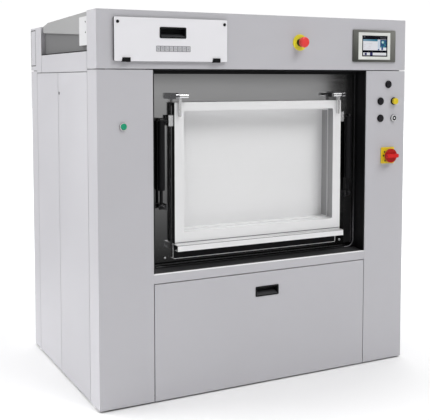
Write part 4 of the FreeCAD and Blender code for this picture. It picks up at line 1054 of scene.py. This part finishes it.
push_cap("green_button", green_plastic, 0.0006)
soft_black = (0.015, 0.014, 0.017)
cap_black = moulded("cap_black_plastic", soft_black, 0.36, 500.0, 0.05, Specular_IOR_Level=0.4)
for node in ("upper_jog_button", "middle_jog_button", "lower_jog_button"):
    push_cap(node, cap_black, 0.0004)
cap_yellow = moulded("cap_yellow_plastic", (0.66, 0.50, 0.014), 0.34, 500.0, 0.06)
push_cap("yellow_button", cap_yellow, 0.0004, head=0.006, flare=0.002)


def key_barrel(name, x, z):
    """A plated barrel with a black ring round the key's slot."""
    finish, shader, place = new_finish(name)
    across, _, up = axes(place)
    apart = ((across - x) ** 2.0 + (up - z) ** 2.0) ** 0.5
    ring = (apart > slot_radius) * (apart < black_radius)
    marks = noise(place, 220.0, 3.0)
    feed(shader, "Base Color", two_tone(ring, (0.93, 0.93, 0.94, 1.0), (0.012, 0.012, 0.012, 1.0)))
    feed(shader, "Roughness", marks * 0.12 + 0.18)
    return finish


slot_radius = 0.0036
black_radius = 0.0100
key_finish = key_barrel("key_barrel", (key_low.x + key_high.x) / 2, (key_low.z + key_high.z) / 2)
finished("key_switch", key_finish, 0.0006)


# Main switch
# A yellow square plate with three dark marks, the lowest mostly a painted shadow of the knob, and a red
# knob with a moulded grip.

def marked_plate(name, colour, centre):
    """Yellow plastic with three round dark marks on its left: two position marks, and the lowest mostly a
    painted shadow of the knob.
    """
    finish, shader, place = new_finish(name)
    across, _, up = axes(place)
    marks = 0.0
    for dx, dz in mark_and_shadow_places:
        apart = ((across - (centre[0] + dx)) ** 2.0 + (up - (centre[1] + dz)) ** 2.0) ** 0.5
        marks = marks + (apart < dot_radius)
    feed(shader, "Base Color", two_tone(marks, tinted(colour, 1.0), (0.03, 0.028, 0.02, 1.0)))
    moulded_skin(shader, place, 500.0)
    return finish


def gripped_knob(name, disc, grip, grip_from):
    """Red plastic, darker on the disc than on the grip that stands in front of it: painted shade on the
    disc.
    """
    finish, shader, place = new_finish(name, Specular_IOR_Level=0.3)
    depth = axes(place)[1]
    feed(shader, "Base Color", two_tone(depth < grip_from, disc, grip))
    moulded_skin(shader, place, 500.0)
    return finish


plate_low, plate_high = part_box("main_switch_plate")
# The lowest of these dots is mostly a painted shadow of the knob.
mark_and_shadow_places = [(-0.016, 0.014), (-0.0205, -0.001), (-0.013, -0.022)]
dot_radius = 0.0040
switch_centre = ((plate_low.x + plate_high.x) / 2, (plate_low.z + plate_high.z) / 2)
plate_yellow = marked_plate("yellow_marked_plate", (0.80, 0.60, 0.02), switch_centre)
finished("main_switch_plate", plate_yellow, 0.001)
# The disc's darker red is painted shade behind the grip.
disc_shade_red = (0.40, 0.006, 0.005, 1.0)
grip_red = (0.58, 0.012, 0.012, 1.0)
grip_from = -0.4562
knob_red = gripped_knob("knob_red_plastic", disc_shade_red, grip_red, grip_from)
finished("main_switch_knob", knob_red, 0.0018)


# Floor and light
# A pale floor, painted darker grey to the left as a painted shadow, a soft surround, brightest at the left
# rear, and a soft lamp from the upper right.

floor_finish, floor_shader, floor_place = new_finish("pale_floor", Roughness=0.85)
floor_across = axes(floor_place)[0]
# Towards the left the floor is painted grey: a painted shadow beside the machine.
painted_floor_light = fade(floor_across, -1.3, -0.3) * 0.95 + noise(floor_place, 1.5) * 0.05
floor_shade_grey = (0.56, 0.56, 0.563, 1.0)
floor_pale = (0.84, 0.84, 0.844, 1.0)
feed(floor_shader, "Base Color", two_tone(painted_floor_light, floor_shade_grey, floor_pale))
bpy.ops.object.select_all(action="DESELECT")
bpy.ops.mesh.primitive_plane_add(size=60.0)
floor = bpy.context.active_object
floor.name = "floor"
floor.data.materials.append(floor_finish)

surround = bpy.data.worlds.new("soft_surround")
surround.use_nodes = True
bpy.context.scene.world = surround
direction = Shade(surround.node_tree).node("TexCoord", output="Generated")
across, along, up = axes(direction)
leftward = across.maths("MAXIMUM", across * -1.0, 0.0)
rear_glow = fade(along, 0.05, 0.5) * 0.90
left_glow = leftward * fade(along, 0.0, 0.35) * 5.0
sky_glow = fade(up, 0.35, 0.90)
room_glow = 0.12
radiance = rear_glow + left_glow + sky_glow + room_glow
backdrop = surround.node_tree.nodes["Background"]
surround.node_tree.links.new(radiance.socket, backdrop.inputs["Strength"])
backdrop.inputs["Color"].default_value = (1.0, 1.0, 1.0, 1.0)

lamp_from = Vector((0.30, -0.60, 0.74))
lamp_data = bpy.data.lights.new("key_lamp", "SUN")
lamp_data.angle = math.radians(28.0)
lamp_data.energy = 1.55
lamp = bpy.data.objects.new("key_lamp", lamp_data)
lamp.rotation_euler = lamp_from.to_track_quat("Z", "Y").to_euler()
bpy.context.scene.collection.objects.link(lamp)


# Reflection cards
# A grey card before each end of the machine, darker towards the floor, that shows in reflections only.

def shaded_card(name, end):
    """A grey that rises from the floor, falls off again near the top and stops short of one end."""
    finish = bpy.data.materials.new(name)
    finish.use_nodes = True
    tree = finish.node_tree
    tree.nodes.remove(tree.nodes["Principled BSDF"])
    across, _, height = axes(Shade(tree).node("TexCoord", output="Object"))
    brightest = 1.10
    rise = height.node("MapRange", sockets={0: height, 1: 0.2, 2: brightest, 3: 0.03, 4: 0.46})
    top_loss = fade(height, brightest, 1.26) * 0.75
    end_loss = (across * end > 1.19) * 0.95
    tone = rise * (1.0 - top_loss) * (1.0 - end_loss)
    glow = tone.node("Emission", sockets={"Strength": tone})
    tree.links.new(glow.socket, tree.nodes["Material Output"].inputs["Surface"])
    return finish


card_away = 1.6
card_width = 7.0
card_height = 2.2
for name, face in (("front_card", -1.0), ("rear_card", 1.0)):
    card = upright_plane(name, (0.0, face * card_away, card_height / 2), card_width, card_height)
    card.data.materials.append(shaded_card(name + "_tone", -face))
    for rays in ("camera", "diffuse", "shadow", "transmission"):
        setattr(card, "visible_" + rays, False)


# Camera
# A long lens at the photograph's viewing angle, from the front left and a little above the doors.

camera_down = 4.21
camera_right = 26.94
camera_data = bpy.data.cameras.new("camera")
camera_data.lens = 69.5
camera_data.sensor_width = 36.0
camera_data.shift_y = -0.163
camera = bpy.data.objects.new("camera", camera_data)
camera.location = (-1.577, -3.1155, 1.1634)
camera.rotation_euler = (math.radians(90.0 - camera_down), 0.0, math.radians(-camera_right))
bpy.context.scene.collection.objects.link(camera)
bpy.context.scene.camera = camera
bpy.context.scene.view_settings.view_transform = "Standard"
